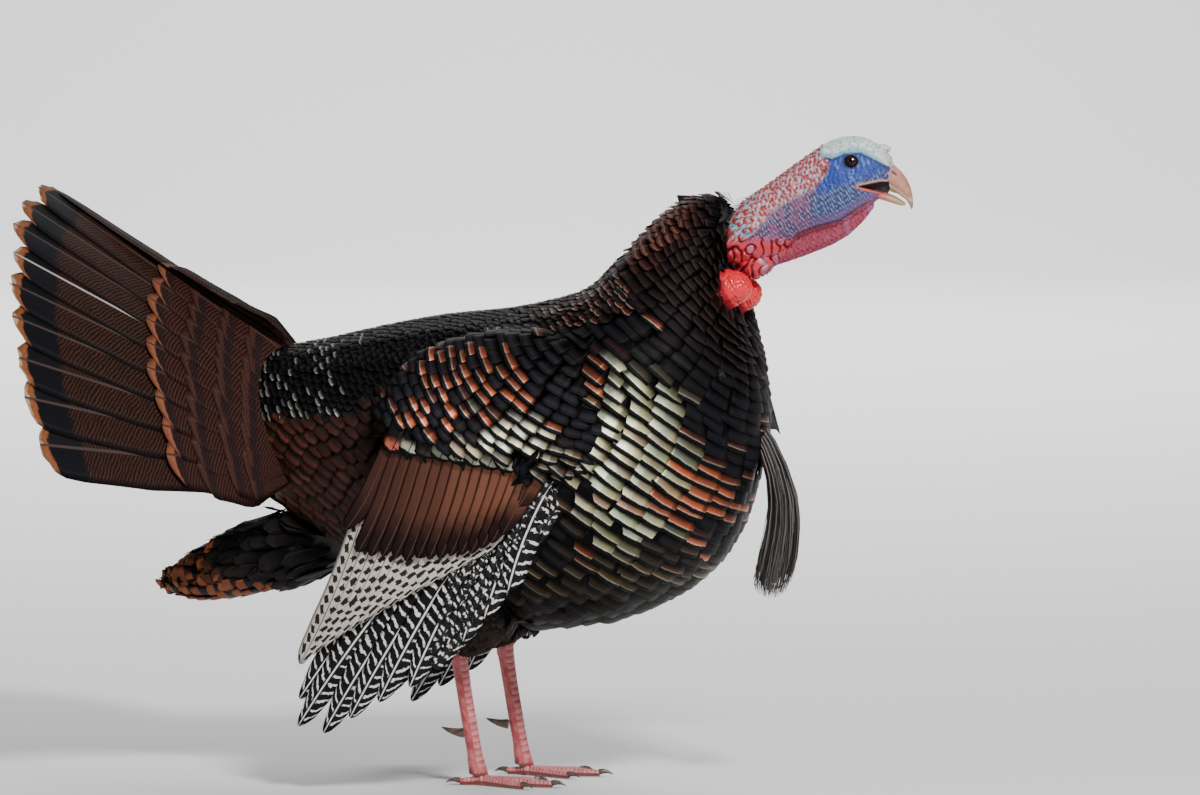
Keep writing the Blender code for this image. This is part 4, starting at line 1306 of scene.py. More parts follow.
def thinned(mesh, faces):
    """The mesh with fewer faces where feathers hide it; the bare skin keeps all of its own."""
    points, _ = mesh_points(mesh)
    wattle = head_zones(points)["wattle"]
    covered_points = np.flatnonzero((bare_mask(points, wattle) < 0.01) & (wattle < 0.01))
    ratio = min(1.0, faces / (2.0 * len(mesh.polygons)))

    def prepare(carrier):
        carrier.vertex_groups.new(name="hidden").add(covered_points.tolist(), 1.0, 'REPLACE')
        thin = carrier.modifiers.new("thin", 'DECIMATE')
        thin.ratio = ratio
        thin.vertex_group = "hidden"

    return modified(mesh, prepare)


def bare_mask(points, wattle):
    """1 where the skin is bare, 0 under the feathers."""
    edge = points[:, 0] - 0.2905 - 0.06 * (points[:, 2] - 0.615)
    bare = ramp(edge, -0.002, 0.002) * ramp(points[:, 2], 0.564, 0.570)
    return np.maximum(bare, wattle)


def opened(mesh, keep_front):
    """A bmesh of a mesh with all beyond the neck's cut removed, left open there."""
    shape = bmesh.new()
    shape.from_mesh(mesh)
    place = Vector(NECK_CUT) + Vector(SHIFT) - NECK_AXIS * (0.0 if keep_front else 0.004)
    bmesh.ops.bisect_plane(shape, geom=shape.verts[:] + shape.edges[:] + shape.faces[:], plane_co=place,
                           plane_no=NECK_AXIS, clear_inner=keep_front, clear_outer=not keep_front)
    return shape


def skin_mesh():
    """One closed skin: coarse under the feathers, fine on the neck and head, stitched between."""
    voxel = HEAD_VOXEL
    front_nodes = [name for name in FLESH if "thigh" not in name and name != "under_tail"]
    fine = thinned(voxel_mesh(front_part(front_nodes, 0.006), voxel, 7), FRONT_FACES)
    coarse = remeshed(FLESH, BODY_VOXEL, 4)
    shape = opened(coarse, False)
    shape.from_mesh(finished(opened(fine, True), "front"))
    bmesh.ops.bridge_loops(shape, edges=[edge for edge in shape.edges if edge.is_boundary])
    bmesh.ops.recalc_face_normals(shape, faces=shape.faces)
    mesh = finished(shape, "skin")
    mesh.update()
    return mesh


def spread_spots(points, spacing, seed, most=3000):
    """Points picked at random, none nearer to another than its own spacing."""
    order = np.random.default_rng(seed).permutation(len(points))[:most]
    chosen = []
    for index in order:
        gap = np.linalg.norm(points[chosen] - points[index], axis=1)
        if not np.any(gap < spacing[index]):
            chosen.append(index)
    return np.array(chosen, int)


def nearest_spot(points, spots):
    """Distance to the nearest spot and its number."""
    tree = KDTree(len(spots))
    for number, spot in enumerate(spots):
        tree.insert(Vector(spot), number)
    tree.balance()
    found = [tree.find(Vector(point))[1:] for point in points]
    return np.array([away for _, away in found]), np.array([number for number, _ in found])


def winding(points, size, seed):
    """Winding folds: 1 along their crests and 0 in the creases between."""
    return np.sqrt(np.clip(np.abs(waves(points, size, seed, 1)) * 2.0, 0.0, 1.0))


def folds(points, pitch, seed):
    """Scaly folds across the neck: 1 on their crests, broken into short lengths."""
    phase = 2 * math.pi * (points @ NECK_RUN) / pitch + 2.6 * waves(points, 0.017, seed, 2)
    crest = (0.5 + 0.5 * np.sin(phase)) ** 0.7
    breaks = np.clip(0.75 + 1.1 * waves(points, pitch * 1.5, seed + 1, 1), 0.2, 1.0)
    return crest * breaks


def head_zones(points):
    """Masks of the bare parts, each 0 to 1 at every point."""
    x, z = points[:, 0], points[:, 2]
    front = ramp(x - np.interp(z, *FACE_REAR), -0.003, 0.003)
    crown = ramp(z - np.interp(x, *BROW), -0.0008, 0.0008) * ramp(x, 0.391, 0.397)
    dewlap = ramp(np.interp(x, *THROAT) - z, -0.0012, 0.0012) * ramp(x, 0.336, 0.346)
    base = ramp(x - 1.0 * (z - 0.585), 0.346, 0.330) * ramp(z, 0.620, 0.606) * ramp(z, 0.562, 0.568)
    wattle = np.zeros(len(points))
    for centre, radii in WATTLES:
        away = (points - np.array(centre)) / (np.array(radii) * 1.10)
        wattle = np.maximum(wattle, ramp(np.sum(away * away, axis=1), 1.20, 0.95))
    upper = ramp(z - np.interp(x, *BEADED), -0.004, 0.006)
    snood = np.linalg.norm((points - (0.4610, 0.0, 0.7160)) / (0.0090, 0.0060, 0.0050), axis=1)
    snood = ramp(snood, 1.25, 0.85)
    half = np.interp(x, *MOUTH_HALF) * ramp(x, 0.4355, 0.4375)
    mouth = np.abs(z - np.interp(x, *MOUTH))
    ear = np.exp(-(((x - 0.4005) / 0.0034) ** 2 + ((z - 0.6890) / 0.0042) ** 2))
    return {"face": front * (1 - crown) * (1 - dewlap), "crown": crown * (1 - snood), "dewlap": dewlap,
            "base": base * (1 - wattle), "wattle": wattle, "upper": upper, "neck": (1 - front) * (1 - crown),
            "snood": snood, "mouth": ramp(mouth, half + 0.0003, half - 0.0006) * ramp(x, 0.4364, 0.4376),
            "lips": ramp(mouth, half + 0.0032, half + 0.0012) * ramp(x, 0.4330, 0.4370), "ear": ear}


def shape_head(points, normals, zones):
    """Move the bare skin's points: folds, lobes and the corner of the mouth; returns relief too."""
    x, z = points[:, 0], points[:, 2]
    brow = z - np.interp(x, *BROW)
    throat = z - np.interp(x, *THROAT)
    along = ramp(x, 0.394, 0.404) * ramp(x, 0.480, 0.466)
    relief = {"crown": winding(points * (0.75, 1.0, 1.2), 0.0072, 22), "scales": folds(points, 0.0034, 23),
              "lobes": winding(points, 0.0145, 27) ** 2, "creases": winding(points, 0.016, 28),
              "fine": waves(points, 0.0040, 29, 2)}
    lift = zones["crown"] * (0.0013 * relief["crown"] - 0.0002)
    lift += 0.0010 * np.exp(-((brow - 0.0020) / 0.0014) ** 2) * along
    lift -= 0.0012 * np.exp(-((brow + 0.0008) / 0.0009) ** 2) * along
    low_face = ramp(z, 0.683, 0.672)
    lift += zones["face"] * (0.0007 * relief["scales"] * low_face + 0.00020 * relief["fine"])
    purple = zones["neck"] * (1 - zones["upper"]) * (1 - zones["dewlap"]) * (1 - zones["base"])
    lift += purple * 0.0010 * relief["scales"]
    lift -= 0.0013 * np.exp(-(throat / 0.0013) ** 2) * ramp(x, 0.345, 0.358) * ramp(x, 0.450, 0.435)
    lift += zones["dewlap"] * (0.0005 * relief["scales"] + 0.0002 * relief["fine"])
    lift += 0.0012 * np.exp(-(((x - 0.4150) / 0.010) ** 2 + ((z - 0.6820) / 0.008) ** 2))
    lift += zones["base"] * (0.0052 * relief["lobes"] - 0.0020)
    lift += zones["wattle"] * 0.0004 * relief["creases"]
    fold = np.abs((x - 0.291) * 0.80 + (z - 0.566) * 0.60)
    lift -= 0.0022 * ramp(fold, 0.0020, 0.0) * zones["wattle"] * ramp(z, 0.553, 0.563)
    lift -= 0.0016 * zones["ear"] + 0.0004 * zones["lips"] * (zones["mouth"] - 1.0)
    moved = points + normals * lift[:, None]
    moved += zones["wattle"][:, None] * WATTLE_SHIFT
    moved[:, 1] *= 1.0 - 0.75 * zones["mouth"] * ramp(x, 0.4364, 0.450)
    return moved, relief


def cut_eyes(points):
    """Open the lids round each eyeball and lay their rims over it."""
    moved = points.copy()
    rim = np.zeros(len(points))
    for sign, _ in SIDES:
        dx, dz = moved[:, 0] - EYE[0], moved[:, 2] - EYE[2]
        side = moved[:, 1] * sign
        out = np.hypot(dx / EYE_OPENING[0], dz / EYE_OPENING[1])
        beside = (out < 1.7) & (side > 0.008)
        lid = EYE[1] + np.sqrt(np.maximum(LID_RADIUS ** 2 - dx * dx - dz * dz, 0.0))
        weight = ramp(out, 1.65, 1.10)
        folded = side * (1 - weight) + np.maximum(lid, side - 0.0006) * weight
        folded += 0.0006 * np.exp(-((out - 1.15) / 0.07) ** 2) - 0.0007 * np.exp(-((out - 1.40) / 0.07) ** 2)
        folded = np.where(out > 1.0, folded, EYE[1] - 0.001)
        moved[:, 1] = np.where(beside, sign * folded, moved[:, 1])
        rim = np.where(beside, np.maximum(rim, np.exp(-((out - 1.06) / 0.13) ** 2)), rim)
        rim = np.where(beside & (out <= 1.0), 2.0, rim)
    return moved, rim


def raise_beads(points, normals, zones, bare):
    """Raise red beads on the neck; returns how far each point is bead, rim or dot, and bristle roots."""
    neck = bare * zones["neck"] * (1 - zones["dewlap"]) * (1 - zones["wattle"]) * (1 - zones["base"])
    run = (points - (0.300, 0.0, 0.613)) @ NECK_RUN
    stretched = np.interp(run, (0.0, 0.03, 0.14), (0.0, 0.034, 0.215)) - run
    spread = points + stretched[:, None] * NECK_RUN
    near_foot = ramp(run, 0.050, 0.020)
    area = np.flatnonzero(neck > 0.05)
    candidates = area[neck[area] > 0.5]
    spacing = 0.0052 + 0.0030 * near_foot + 0.0012 * (1 - zones["upper"])
    chosen = candidates[spread_spots(spread[candidates], spacing[candidates], 31)]
    draw = np.random.default_rng(32)
    radius = draw.uniform(0.0018, 0.0027, len(chosen)) + 0.0007 * near_foot[chosen]
    tall = draw.uniform(0.0010, 0.0017, len(chosen)) * (0.3 + 0.7 * zones["upper"][chosen])
    away, number = nearest_spot(spread[area], spread[chosen])
    share = away / radius[number]
    moved = points.copy()
    moved[area] += normals[area] * (np.sqrt(np.clip(1.0 - share ** 2, 0.0, 1.0)) * tall[number])[:, None]
    strong = 0.15 + 0.85 * zones["upper"][area]
    marks = {name: np.zeros(len(points)) for name in ("bead", "rim", "dot")}
    marks["bead"][area] = ramp(share, 1.05, 0.85) * strong
    marks["rim"][area] = np.exp(-((share - 1.15) / 0.14) ** 2) * strong
    dots = candidates[spread_spots(points[candidates], np.full(len(candidates), 0.0046), 35)]
    away, _ = nearest_spot(points[area], points[dots])
    marks["dot"][area] = ramp(away, 0.0013, 0.0007) * (1 - marks["bead"][area]) * strong
    marks["roots"] = np.column_stack([moved[dots], normals[dots], near_foot[dots], zones["upper"][dots]])
    return moved, marks


def neck_bristles(roots):
    """Short black bristles between the beads, longer at the neck's foot."""
    places, normals, near_foot, upper = roots[:, :3], roots[:, 3:6], roots[:, 6:7], roots[:, 7:8]
    draw = np.random.default_rng(SEED + 7)
    length = (0.0022 + 0.0065 * near_foot * upper) * draw.uniform(0.7, 1.3, (len(roots), 1))
    heading = unit(0.75 * normals - 0.55 * NECK_RUN + 0.15 * draw.normal(size=normals.shape))
    v = np.linspace(0.0, 1.0, 4)[None, :, None]
    paths = (places - normals * 0.0006)[:, None] + heading[:, None] * v * length[:, None]
    paths = paths - NECK_RUN * (v ** 2 * length[:, None] * 0.35)
    radii = 0.00034 * (1.0 - 0.75 * v[..., 0]) * (1.0 + 0.5 * near_foot)
    material = bristle_material("neck_bristles", (0.006, 0.005, 0.005), (0.03, 0.025, 0.022))
    strand_piece("neck_bristles", paths, radii, material)


def paint_head(points, zones, relief, marks, lid, bare):
    """Colours of the bare skin, with painted shade in folds and creases and painted highlights on their
    crests; under the feathers the skin is painted dark as the shade between them.
    """
    x, z = points[:, 0], points[:, 2]
    blotch = waves(points, 0.014, 51, 2) * 0.5 + 0.5
    grain = waves(points, 0.0045, 52, 2) * 0.5 + 0.5
    foot = ramp(x + 0.4 * (z - 0.63), 0.345, 0.320)
    light = mix((0.46, 0.18, 0.19), (0.62, 0.53, 0.57), ramp(grain, 0.35, 0.80))
    light = mix(light, (0.20, 0.46, 0.60), ramp(blotch, 0.52, 0.75) * (0.25 + 0.7 * foot))
    # The purple folds: near-black in their creases and pale on their crests, painted shade and painted
    # highlight.
    purple = mix((0.038, 0.014, 0.060), (0.24, 0.22, 0.40), relief["scales"])
    purple = mix(purple, (0.26, 0.075, 0.16), ramp(blotch, 0.50, 0.80) * 0.55)
    colour = mix(purple, light, zones["upper"])
    blue = mix((0.004, 0.017, 0.17), (0.017, 0.070, 0.40), grain)
    blue = mix(blue, (0.16, 0.32, 0.70), ramp(grain * blotch, 0.38, 0.64) * 0.4)
    # The lower face's folds: painted shade in the creases, painted highlight on the crests.
    low = mix((0.010, 0.014, 0.070), (0.15, 0.22, 0.48), relief["scales"])
    face = mix(blue, low, ramp(z - 0.35 * (x - 0.41), 0.676, 0.664))
    face = mix(face, (0.16, 0.075, 0.22), ramp(z - np.interp(x, *THROAT), 0.016, 0.002) * 0.8)
    face = mix(face, (0.006, 0.018, 0.12), 0.7 * ramp(np.abs(z - 0.688 - 0.9 * (x - 0.452)), 0.0022, 0.0008)
               * ramp(x, 0.438, 0.444))
    colour = mix(colour, face, zones["face"])
    brow = z - np.interp(x, *BROW)
    # The crown: darker in the valleys between its folds, painted shade, and pale on their crests.
    crown = mix((0.11, 0.24, 0.29), (0.76, 0.84, 0.80), relief["crown"] * (0.6 + 0.4 * grain))
    crown = mix(crown, (0.070, 0.40, 0.62), ramp(brow, 0.0065, 0.0020) * 0.75)
    crown = mix(crown, (0.60, 0.44, 0.42), ramp(x, 0.459, 0.470) * 0.8)
    colour = mix(colour, crown, zones["crown"])
    along = ramp(x, 0.394, 0.402) * ramp(x, 0.478, 0.466)
    colour = mix(colour, (0.006, 0.010, 0.030), np.exp(-((brow + 0.0007) / 0.0008) ** 2) * along * 0.9)
    # Half from the folds, painted shade in their creases; half random grain.
    dewlap = mix((0.16, 0.008, 0.028), (0.46, 0.060, 0.115), relief["scales"] * 0.5 + 0.5 * grain)
    dewlap = mix(dewlap, (0.24, 0.13, 0.30), ramp(blotch, 0.55, 0.85) * 0.5 * ramp(x, 0.39, 0.42))
    colour = mix(colour, dewlap, zones["dewlap"])
    # A dark line along the throat's groove: painted shade in the crease.
    crease = np.exp(-((z - np.interp(x, *THROAT)) / 0.0010) ** 2)
    crease = crease * ramp(x, 0.340, 0.350) * ramp(x, 0.455, 0.440)
    colour = mix(colour, (0.030, 0.006, 0.020), crease * 0.8)
    colour = mix(colour, (0.020, 0.010, 0.012), marks["dot"] * 0.9)
    colour = mix(colour, (0.055, 0.008, 0.014), marks["rim"] * 0.75)
    colour = mix(colour, (0.44, 0.012, 0.024), marks["bead"])
    # Lobes: near-black in the creases between them, painted shade.
    lobes = mix((0.050, 0.002, 0.005), (0.56, 0.032, 0.048), ramp(relief["lobes"], 0.05, 0.60))
    lobes = mix(lobes, (0.40, 0.30, 0.40), ramp(blotch, 0.72, 0.90) * 0.5)
    colour = mix(colour, lobes, zones["base"])
    # Darker red in the wattle's creases: painted shade.
    wattle = mix((0.46, 0.006, 0.012), (0.76, 0.016, 0.030), ramp(relief["creases"], 0.1, 0.5))
    colour = mix(colour, wattle, ramp(zones["wattle"], 0.02, 0.35))
    colour = mix(colour, mix((0.66, 0.42, 0.42), (0.80, 0.68, 0.66), grain), zones["snood"])
    colour = mix(colour, (0.085, 0.022, 0.016), zones["ear"] * 0.9)
    lips = mix((0.60, 0.12, 0.085), (0.50, 0.24, 0.23), ramp(z - np.interp(x, *MOUTH), -0.0010, 0.0010))
    colour = mix(colour, lips, zones["lips"])
    # The gape near-black: painted shade in the slit of the mouth.
    colour = mix(colour, (0.016, 0.006, 0.006), zones["mouth"])
    colour = mix(colour, (0.012, 0.014, 0.040), np.clip(lid, 0, 1) * 0.9)
    # Under the feathers the skin is painted near-black: painted shade in the gaps between feathers.
    return mix((0.010, 0.008, 0.008), colour, bare)


def skin_material():
    """Bare skin: painted per point, with fine wrinkles, and more gloss on the red lobes."""
    s = Shader("skin")
    gloss = s.attribute("gloss", "Fac")
    grain = s.noise(1300.0, detail=3.0)
    pits = s.cells(620.0)
    colour = s.shade(s.attribute("skin_colour", "Color"), 0.80 + grain * 0.40)
    s.set(Base_Color=colour, Roughness=0.50 - gloss * 0.28, Subsurface_Weight=0.05,
          Subsurface_Radius=(0.0030, 0.0010, 0.0007), Subsurface_Scale=1.0)
    s.bump((grain + pits * 1.2) * (1.0 - gloss * 0.95), 0.0005, 0.7)
    return s.material


def lay_on_bill(points):
    """Draw the forehead's front edge down onto the root of the upper bill."""
    bill = node_tree(["bill_upper"])
    high = ramp(points[:, 2], 0.7050, 0.7020)
    weight = ramp(points[:, 0], 0.4585, 0.4650) * ramp(points[:, 2], 0.6760, 0.6800) * high
    for index in np.flatnonzero(weight > 0.0):
        place, normal, _, _ = bill.find_nearest(Vector(points[index]))
        target = np.array(place + normal * 0.0005)
        outside = (points[index] - np.array(place)) @ np.array(normal) > 0.0005
        if outside:
            points[index] += (target - points[index]) * weight[index]
    return points


def make_skin():
    """The skin of head, neck and body in one piece."""
    mesh = skin_mesh()
    points, normals = mesh_points(mesh)
    zones = head_zones(points)
    bare = bare_mask(points, zones["wattle"])
    moved, relief = shape_head(points, normals, {name: mask * bare for name, mask in zones.items()})
    moved, marks = raise_beads(moved, normals, zones, bare)
    moved, lid = cut_eyes(moved)
    moved = lay_on_bill(moved)
    depth = COAT_DEPTH * (1 - bare)
    set_points(mesh, moved - normals * depth[:, None])
    store(mesh, "skin_colour", 'FLOAT_COLOR', paint_head(points, zones, relief, marks, lid, bare))
    gloss = np.clip(zones["wattle"] + 0.8 * zones["base"] + 0.6 * marks["bead"], 0.0, 1.0) * bare
    store(mesh, "gloss", 'FLOAT', gloss)
    place_piece("skin", mesh, skin_material(), FLESH)
    neck_bristles(marks["roots"])


def eye_material():
    """Dark brown iris, black pupil and a clear wet surface."""
    s = Shader("eye")
    out = s.attribute("gaze", "Fac")
    rays = s.noise(700.0, detail=3.0)
    iris = s.mix(rays, (0.016, 0.005, 0.004), (0.044, 0.015, 0.009))
    colour = s.mix(s.smooth(out, 0.47, 0.52), (0.002, 0.002, 0.002), iris)
    colour = s.mix(s.smooth(out, 0.86, 0.98), colour, (0.010, 0.007, 0.007))
    s.set(Base_Color=colour, Roughness=0.06, Specular_IOR_Level=0.15, Coat_Weight=0.25, Coat_Roughness=0.02)
    return s.material


def make_eyes():
    """Eyeballs with a slight bulge of the cornea."""
    material = eye_material()
    turns, rows = 48, 32
    for sign, side in SIDES:
        centre = EYE * (1.0, sign, 1.0)
        angle, turn = np.meshgrid(math.pi * np.arange(rows + 1) / rows,
                                  2 * math.pi * np.arange(turns) / turns, indexing='ij')
        flat = EYE_RADIUS * np.sin(angle)
        bulge = 1.0 + 0.035 * np.exp(-(angle / 0.55) ** 2)
        verts = centre + np.stack([flat * np.cos(turn), sign * EYE_RADIUS * np.cos(angle) * bulge,
                                   flat * np.sin(turn)], axis=-1).reshape(-1, 3)
        out = np.where(angle < math.pi / 2, flat / 0.0072, 2.0).ravel()
        mesh = bpy.data.meshes.new("eyeball_" + side)
        mesh.from_pydata((verts + SHIFT).tolist(), [], tube_faces(rows, turns))
        store(mesh, "gaze", 'FLOAT', out)
        weld_mesh(mesh)
        place_piece("eyeball_" + side, mesh, material, ("eye_" + side,))


def weld_mesh(mesh):
    """Join points that fall together and turn all faces outward."""
    shape = bmesh.new()
    shape.from_mesh(mesh)
    bmesh.ops.remove_doubles(shape, verts=shape.verts, dist=1e-6)
    bmesh.ops.recalc_face_normals(shape, faces=shape.faces)
    shape.to_mesh(mesh)
    shape.free()


def refined(name, nodes, voxel, smoothing, reshape, material):
    """A smooth, finely meshed stand-in for horny nodes, reshaped and painted point by point."""
    mesh = remeshed(nodes, voxel, smoothing)
    points, normals = mesh_points(mesh)
    points, colours = reshape(points, normals)
    set_points(mesh, points)
    store(mesh, "skin_colour", 'FLOAT_COLOR', colours)
    place_piece(name, mesh, material, nodes)


def horn_material(name, roughness, streaks=(260.0, 0.35), bump=0.0003):
    """Horn: painted per point, with fine streaks."""
    s = Shader(name)
    streak = s.noise(streaks[0], detail=4.0)
    tone = 1.0 - streaks[1] * 0.5 + streak * streaks[1]
    colour = s.shade(s.attribute("skin_colour", "Color"), tone)
    s.set(Base_Color=colour, Roughness=roughness + streak * 0.15)
    s.bump(streak, bump, 0.6)
    return s.material


def shape_upper_bill(points, normals):
    """The nostril, the cutting edge and the horn's colours."""
    x, y, z = points[:, 0], np.abs(points[:, 1]), points[:, 2]
    along = ((x - 0.4750) * 0.80 - (z - 0.6860) * 0.60) / 0.0036
    across = ((x - 0.4750) * 0.60 + (z - 0.6860) * 0.80) / 0.0011
    away = np.hypot(along, across)
    hole = ramp(away, 1.25, 0.6) * ramp(y, 0.002, 0.004)
    lift = -0.0012 * hole + 0.0004 * np.exp(-((away - 1.6) / 0.35) ** 2)
    grain = waves(points, 0.010, 61, 3) * 0.5 + 0.5
    colour = mix((0.36, 0.14, 0.105), (0.54, 0.27, 0.19), grain)
    colour = mix(colour, (0.42, 0.24, 0.23), ramp(x, 0.476, 0.466))
    rim = np.interp(x, (0.456, 0.463, 0.471, 0.479, 0.485, 0.490),
                    (0.675, 0.671, 0.667, 0.662, 0.658, 0.653))
    colour = mix(colour, (0.62, 0.52, 0.32), ramp(z - rim, 0.0075, 0.0035) * 0.85)
    colour = mix(colour, (0.50, 0.24, 0.19), ramp(z - rim, 0.0022, 0.0008) * 0.8)
    colour = mix(colour, (0.20, 0.10, 0.075), ramp(z, 0.662, 0.648) * 0.7)
    colour = mix(colour, (0.022, 0.010, 0.010), hole)
    return points + normals * lift[:, None], colour


def shape_lower_bill(points, _):
    """Pinkish at the root, horn yellow to the tip."""
    x, z = points[:, 0], points[:, 2]
    grain = waves(points, 0.009, 62, 3) * 0.5 + 0.5
    colour = mix((0.54, 0.13, 0.10), (0.52, 0.31, 0.175), ramp(x + 0.004 * grain, 0.460, 0.478))
    top = np.interp(x, (0.455, 0.463, 0.471, 0.479, 0.486), (0.6675, 0.6650, 0.6625, 0.6585, 0.6535))
    # Darker along the top where it meets the upper bill: painted shade.
    colour = mix(colour, (0.16, 0.09, 0.05), ramp(z - top, -0.0022, -0.0008) * 0.7)
    return points, colour


def shape_tongue(points, _):
    """Olive yellow, darker behind as painted shade deeper in the mouth."""
    return points, mix((0.08, 0.045, 0.02), (0.36, 0.28, 0.07), ramp(points[:, 0], 0.460, 0.472))


def make_bill():
    """Both halves of the bill and the tongue."""
    horn = horn_material("bill_horn", 0.30)
    refined("upper_bill", ["bill_upper"], 0.0005, 5, shape_upper_bill, horn)
    refined("lower_bill", ["bill_lower"], 0.0005, 4, shape_lower_bill, horn)
    refined("tongue_top", ["tongue"], 0.0004, 3, shape_tongue, horn_material("tongue", 0.30))


# ---------------------------------------------------------------- beard, bristles and legs

BEARD = np.array([
    (0.300, 0.440, 0.288, 0.412, 0.008),
    (0.339, 0.403, 0.316, 0.374, 0.013),
    (0.357, 0.367, 0.325, 0.342, 0.017),
    (0.369, 0.330, 0.3275, 0.314, 0.019),
    (0.371, 0.296, 0.325, 0.286, 0.019),
    (0.367, 0.260, 0.318, 0.252, 0.017),
    (0.359, 0.232, 0.314, 0.228, 0.014),
    (0.348, 0.208, 0.322, 0.2085, 0.010),
])


def strand_mesh(paths, radii, sides=3):
    """Tubes with closed ends along many paths: points shaped strand, row, 3."""
    count, rows = paths.shape[:2]
    ahead = unit(np.gradient(paths, axis=1))
    first = unit(np.cross(ahead, np.array([0.0, 1.0, 0.05])))
    second = np.cross(ahead, first)
    turns = 2 * math.pi * np.arange(sides) / sides
    ring = (first[:, :, None] * np.cos(turns)[None, None, :, None]
            + second[:, :, None] * np.sin(turns)[None, None, :, None])
    verts = (paths[:, :, None] + ring * radii[:, :, None, None]).reshape(-1, 3)
    ends = [tuple(range(sides))[::-1], tuple((rows - 1) * sides + k for k in range(sides))]
    size = rows * sides
    return verts, repeated(tube_faces(rows - 1, sides), count, size), repeated(ends, count, size)


def strand_piece(name, paths, radii, material, replaces=()):
    """A piece of many bristles, each a patch on the bake's map."""
    verts, quads, ends = strand_mesh(paths, radii)
    count, rows = paths.shape[:2]
    v = np.linspace(0.0, 1.0, rows)
    local = np.tile(np.stack([np.tile((-0.8, 0.0, 0.8), rows), np.repeat(v, 3)], axis=1), (count, 1))
    mesh = mapped_mesh(name, verts, quads, ends, feather_patches(paths[:, 0], local))
    chance = np.repeat(np.random.default_rng(SEED).uniform(size=count), rows * 3)
    store(mesh, "vane", 'FLOAT_VECTOR', np.column_stack([local, chance]))
    place_piece(name, mesh, material, replaces)


def bristle_material(name, dark, light):
    """Coarse bristles from black to grey-brown."""
    s = Shader(name)
    chance = s.parts(s.attribute("vane"))[2]
    grain = s.noise(300.0, detail=3.0)
    share = s.smooth(chance + grain * 0.3, 0.45, 1.15)
    s.set(Base_Color=s.mix(share, dark, light), Roughness=0.36 + grain * 0.2)
    s.bump(grain, 0.0003, 0.5)
    return s.material


def make_beard():
    """The beard: several hundred long bristles from one root on the breast."""
    draw = np.random.default_rng(SEED + 6)
    count, rows = 520, 15
    v = np.linspace(0.0, 1.0, rows)
    reach = draw.uniform(0.80, 1.0, count)
    outward = np.sqrt(draw.uniform(0.0, 1.0, count))
    turn = draw.uniform(0, 2 * math.pi, count)
    reach = reach - 0.06 * outward
    place = v[None, :] * reach[:, None] * (len(BEARD) - 1)
    keys = np.arange(len(BEARD))
    top_x, top_z, low_x, low_z, wide = (np.interp(place, keys, BEARD[:, k]) for k in range(5))
    front = (np.cos(turn) * outward)[:, None] * (0.55 + 0.45 * v)
    side = (np.sin(turn) * outward)[:, None] * (0.55 + 0.45 * v)
    sway = draw.uniform(0, 2 * math.pi, (count, 1))
    wavy = 0.0012 * np.sin(v[None, :] * 9.0 + sway) * v[None, :]
    x = (top_x + low_x) / 2 + (top_x - low_x) / 2 * front + wavy
    z = (top_z + low_z) / 2 + (top_z - low_z) / 2 * front
    y = wide * side + 0.8 * wavy[:, ::-1]
    radii = 0.00085 * (1.0 - 0.75 * v[None, :] ** 2) * draw.uniform(0.8, 1.2, (count, 1))
    material = bristle_material("beard_bristles", (0.012, 0.011, 0.011), (0.16, 0.14, 0.125))
    paths = np.stack([x, y, z], axis=-1)
    strand_piece("beard_bristles", paths, radii, material, ("beard",))


def leg_shape(sign):
    """A function that raises scales on one leg and paints it, with painted highlights on the plates and
    painted shade between them.
    """
    foot = np.array([0.030 + sign * 0.012, sign * 0.055])
    toes = ((30.0, 0.066), (4.0, 0.086), (-26.0, 0.064), (172.0, 0.032))

    def reshape(points, normals):
        z = points[:, 2]
        height = ramp(z, 0.016, 0.024)
        best = np.full(len(points), 1.0)
        along = np.zeros(len(points))
        for heading, length in toes:
            turn = math.radians(heading) * sign
            ahead = np.array([math.cos(turn), math.sin(turn)])
            flat = points[:, :2] - foot
            run = flat @ ahead
            off = np.abs(flat @ np.array([-ahead[1], ahead[0]]))
            off = off + np.maximum(-run, 0) + np.maximum(run - length, 0)
            closer = off < best
            best = np.where(closer, off, best)
            along = np.where(closer, run, along)
        front = ramp(normals[:, 0], -0.15, 0.25)
        cycle = (z / 0.0072 + 0.35 * np.abs(normals[:, 1])) % 1.0
        plate = ramp(cycle, 0.0, 0.16) * (1.0 - 0.25 * cycle)
        small_cycle = (z / 0.0040 + 0.5 * (normals[:, 1] > 0)) % 1.0
        small = ramp(small_cycle, 0.0, 0.25) * ramp(small_cycle, 1.0, 0.8)
        shank = plate * front + small * (1 - front) * 0.6
        toe_cycle = (along / 0.0048) % 1.0
        toe = ramp(toe_cycle, 0.0, 0.2) * (1.0 - 0.2 * toe_cycle) * ramp(normals[:, 2], -0.1, 0.3)
        scale = shank * height + toe * (1 - height)
        moved = points + normals * (0.0006 * (scale - 0.5))[:, None]
        moved[:, 2] = np.maximum(moved[:, 2], 0.0)
        grain = waves(points, 0.012, 71, 2) * 0.5 + 0.5
        colour = mix((0.42, 0.055, 0.062), (0.60, 0.155, 0.155), grain)
        # Pale pink on the scales' raised plates, a painted highlight; dark red in the grooves between them,
        # painted shade.
        colour = mix(colour, (0.74, 0.42, 0.42), ramp(scale, 0.75, 0.95) * 0.45)
        colour = mix((0.20, 0.035, 0.035), colour, ramp(scale, 0.05, 0.40))
        colour = mix(colour, (0.34, 0.16, 0.13), ramp(normals[:, 2], -0.4, -0.8) * (1 - height))
        return moved, colour

    return reshape


def shape_claw(points, _):
    """Dark horn with paler patches at random."""
    grain = waves(points, 0.006, 81, 2) * 0.5 + 0.5
    return points, mix((0.050, 0.030, 0.024), (0.15, 0.095, 0.070), grain)


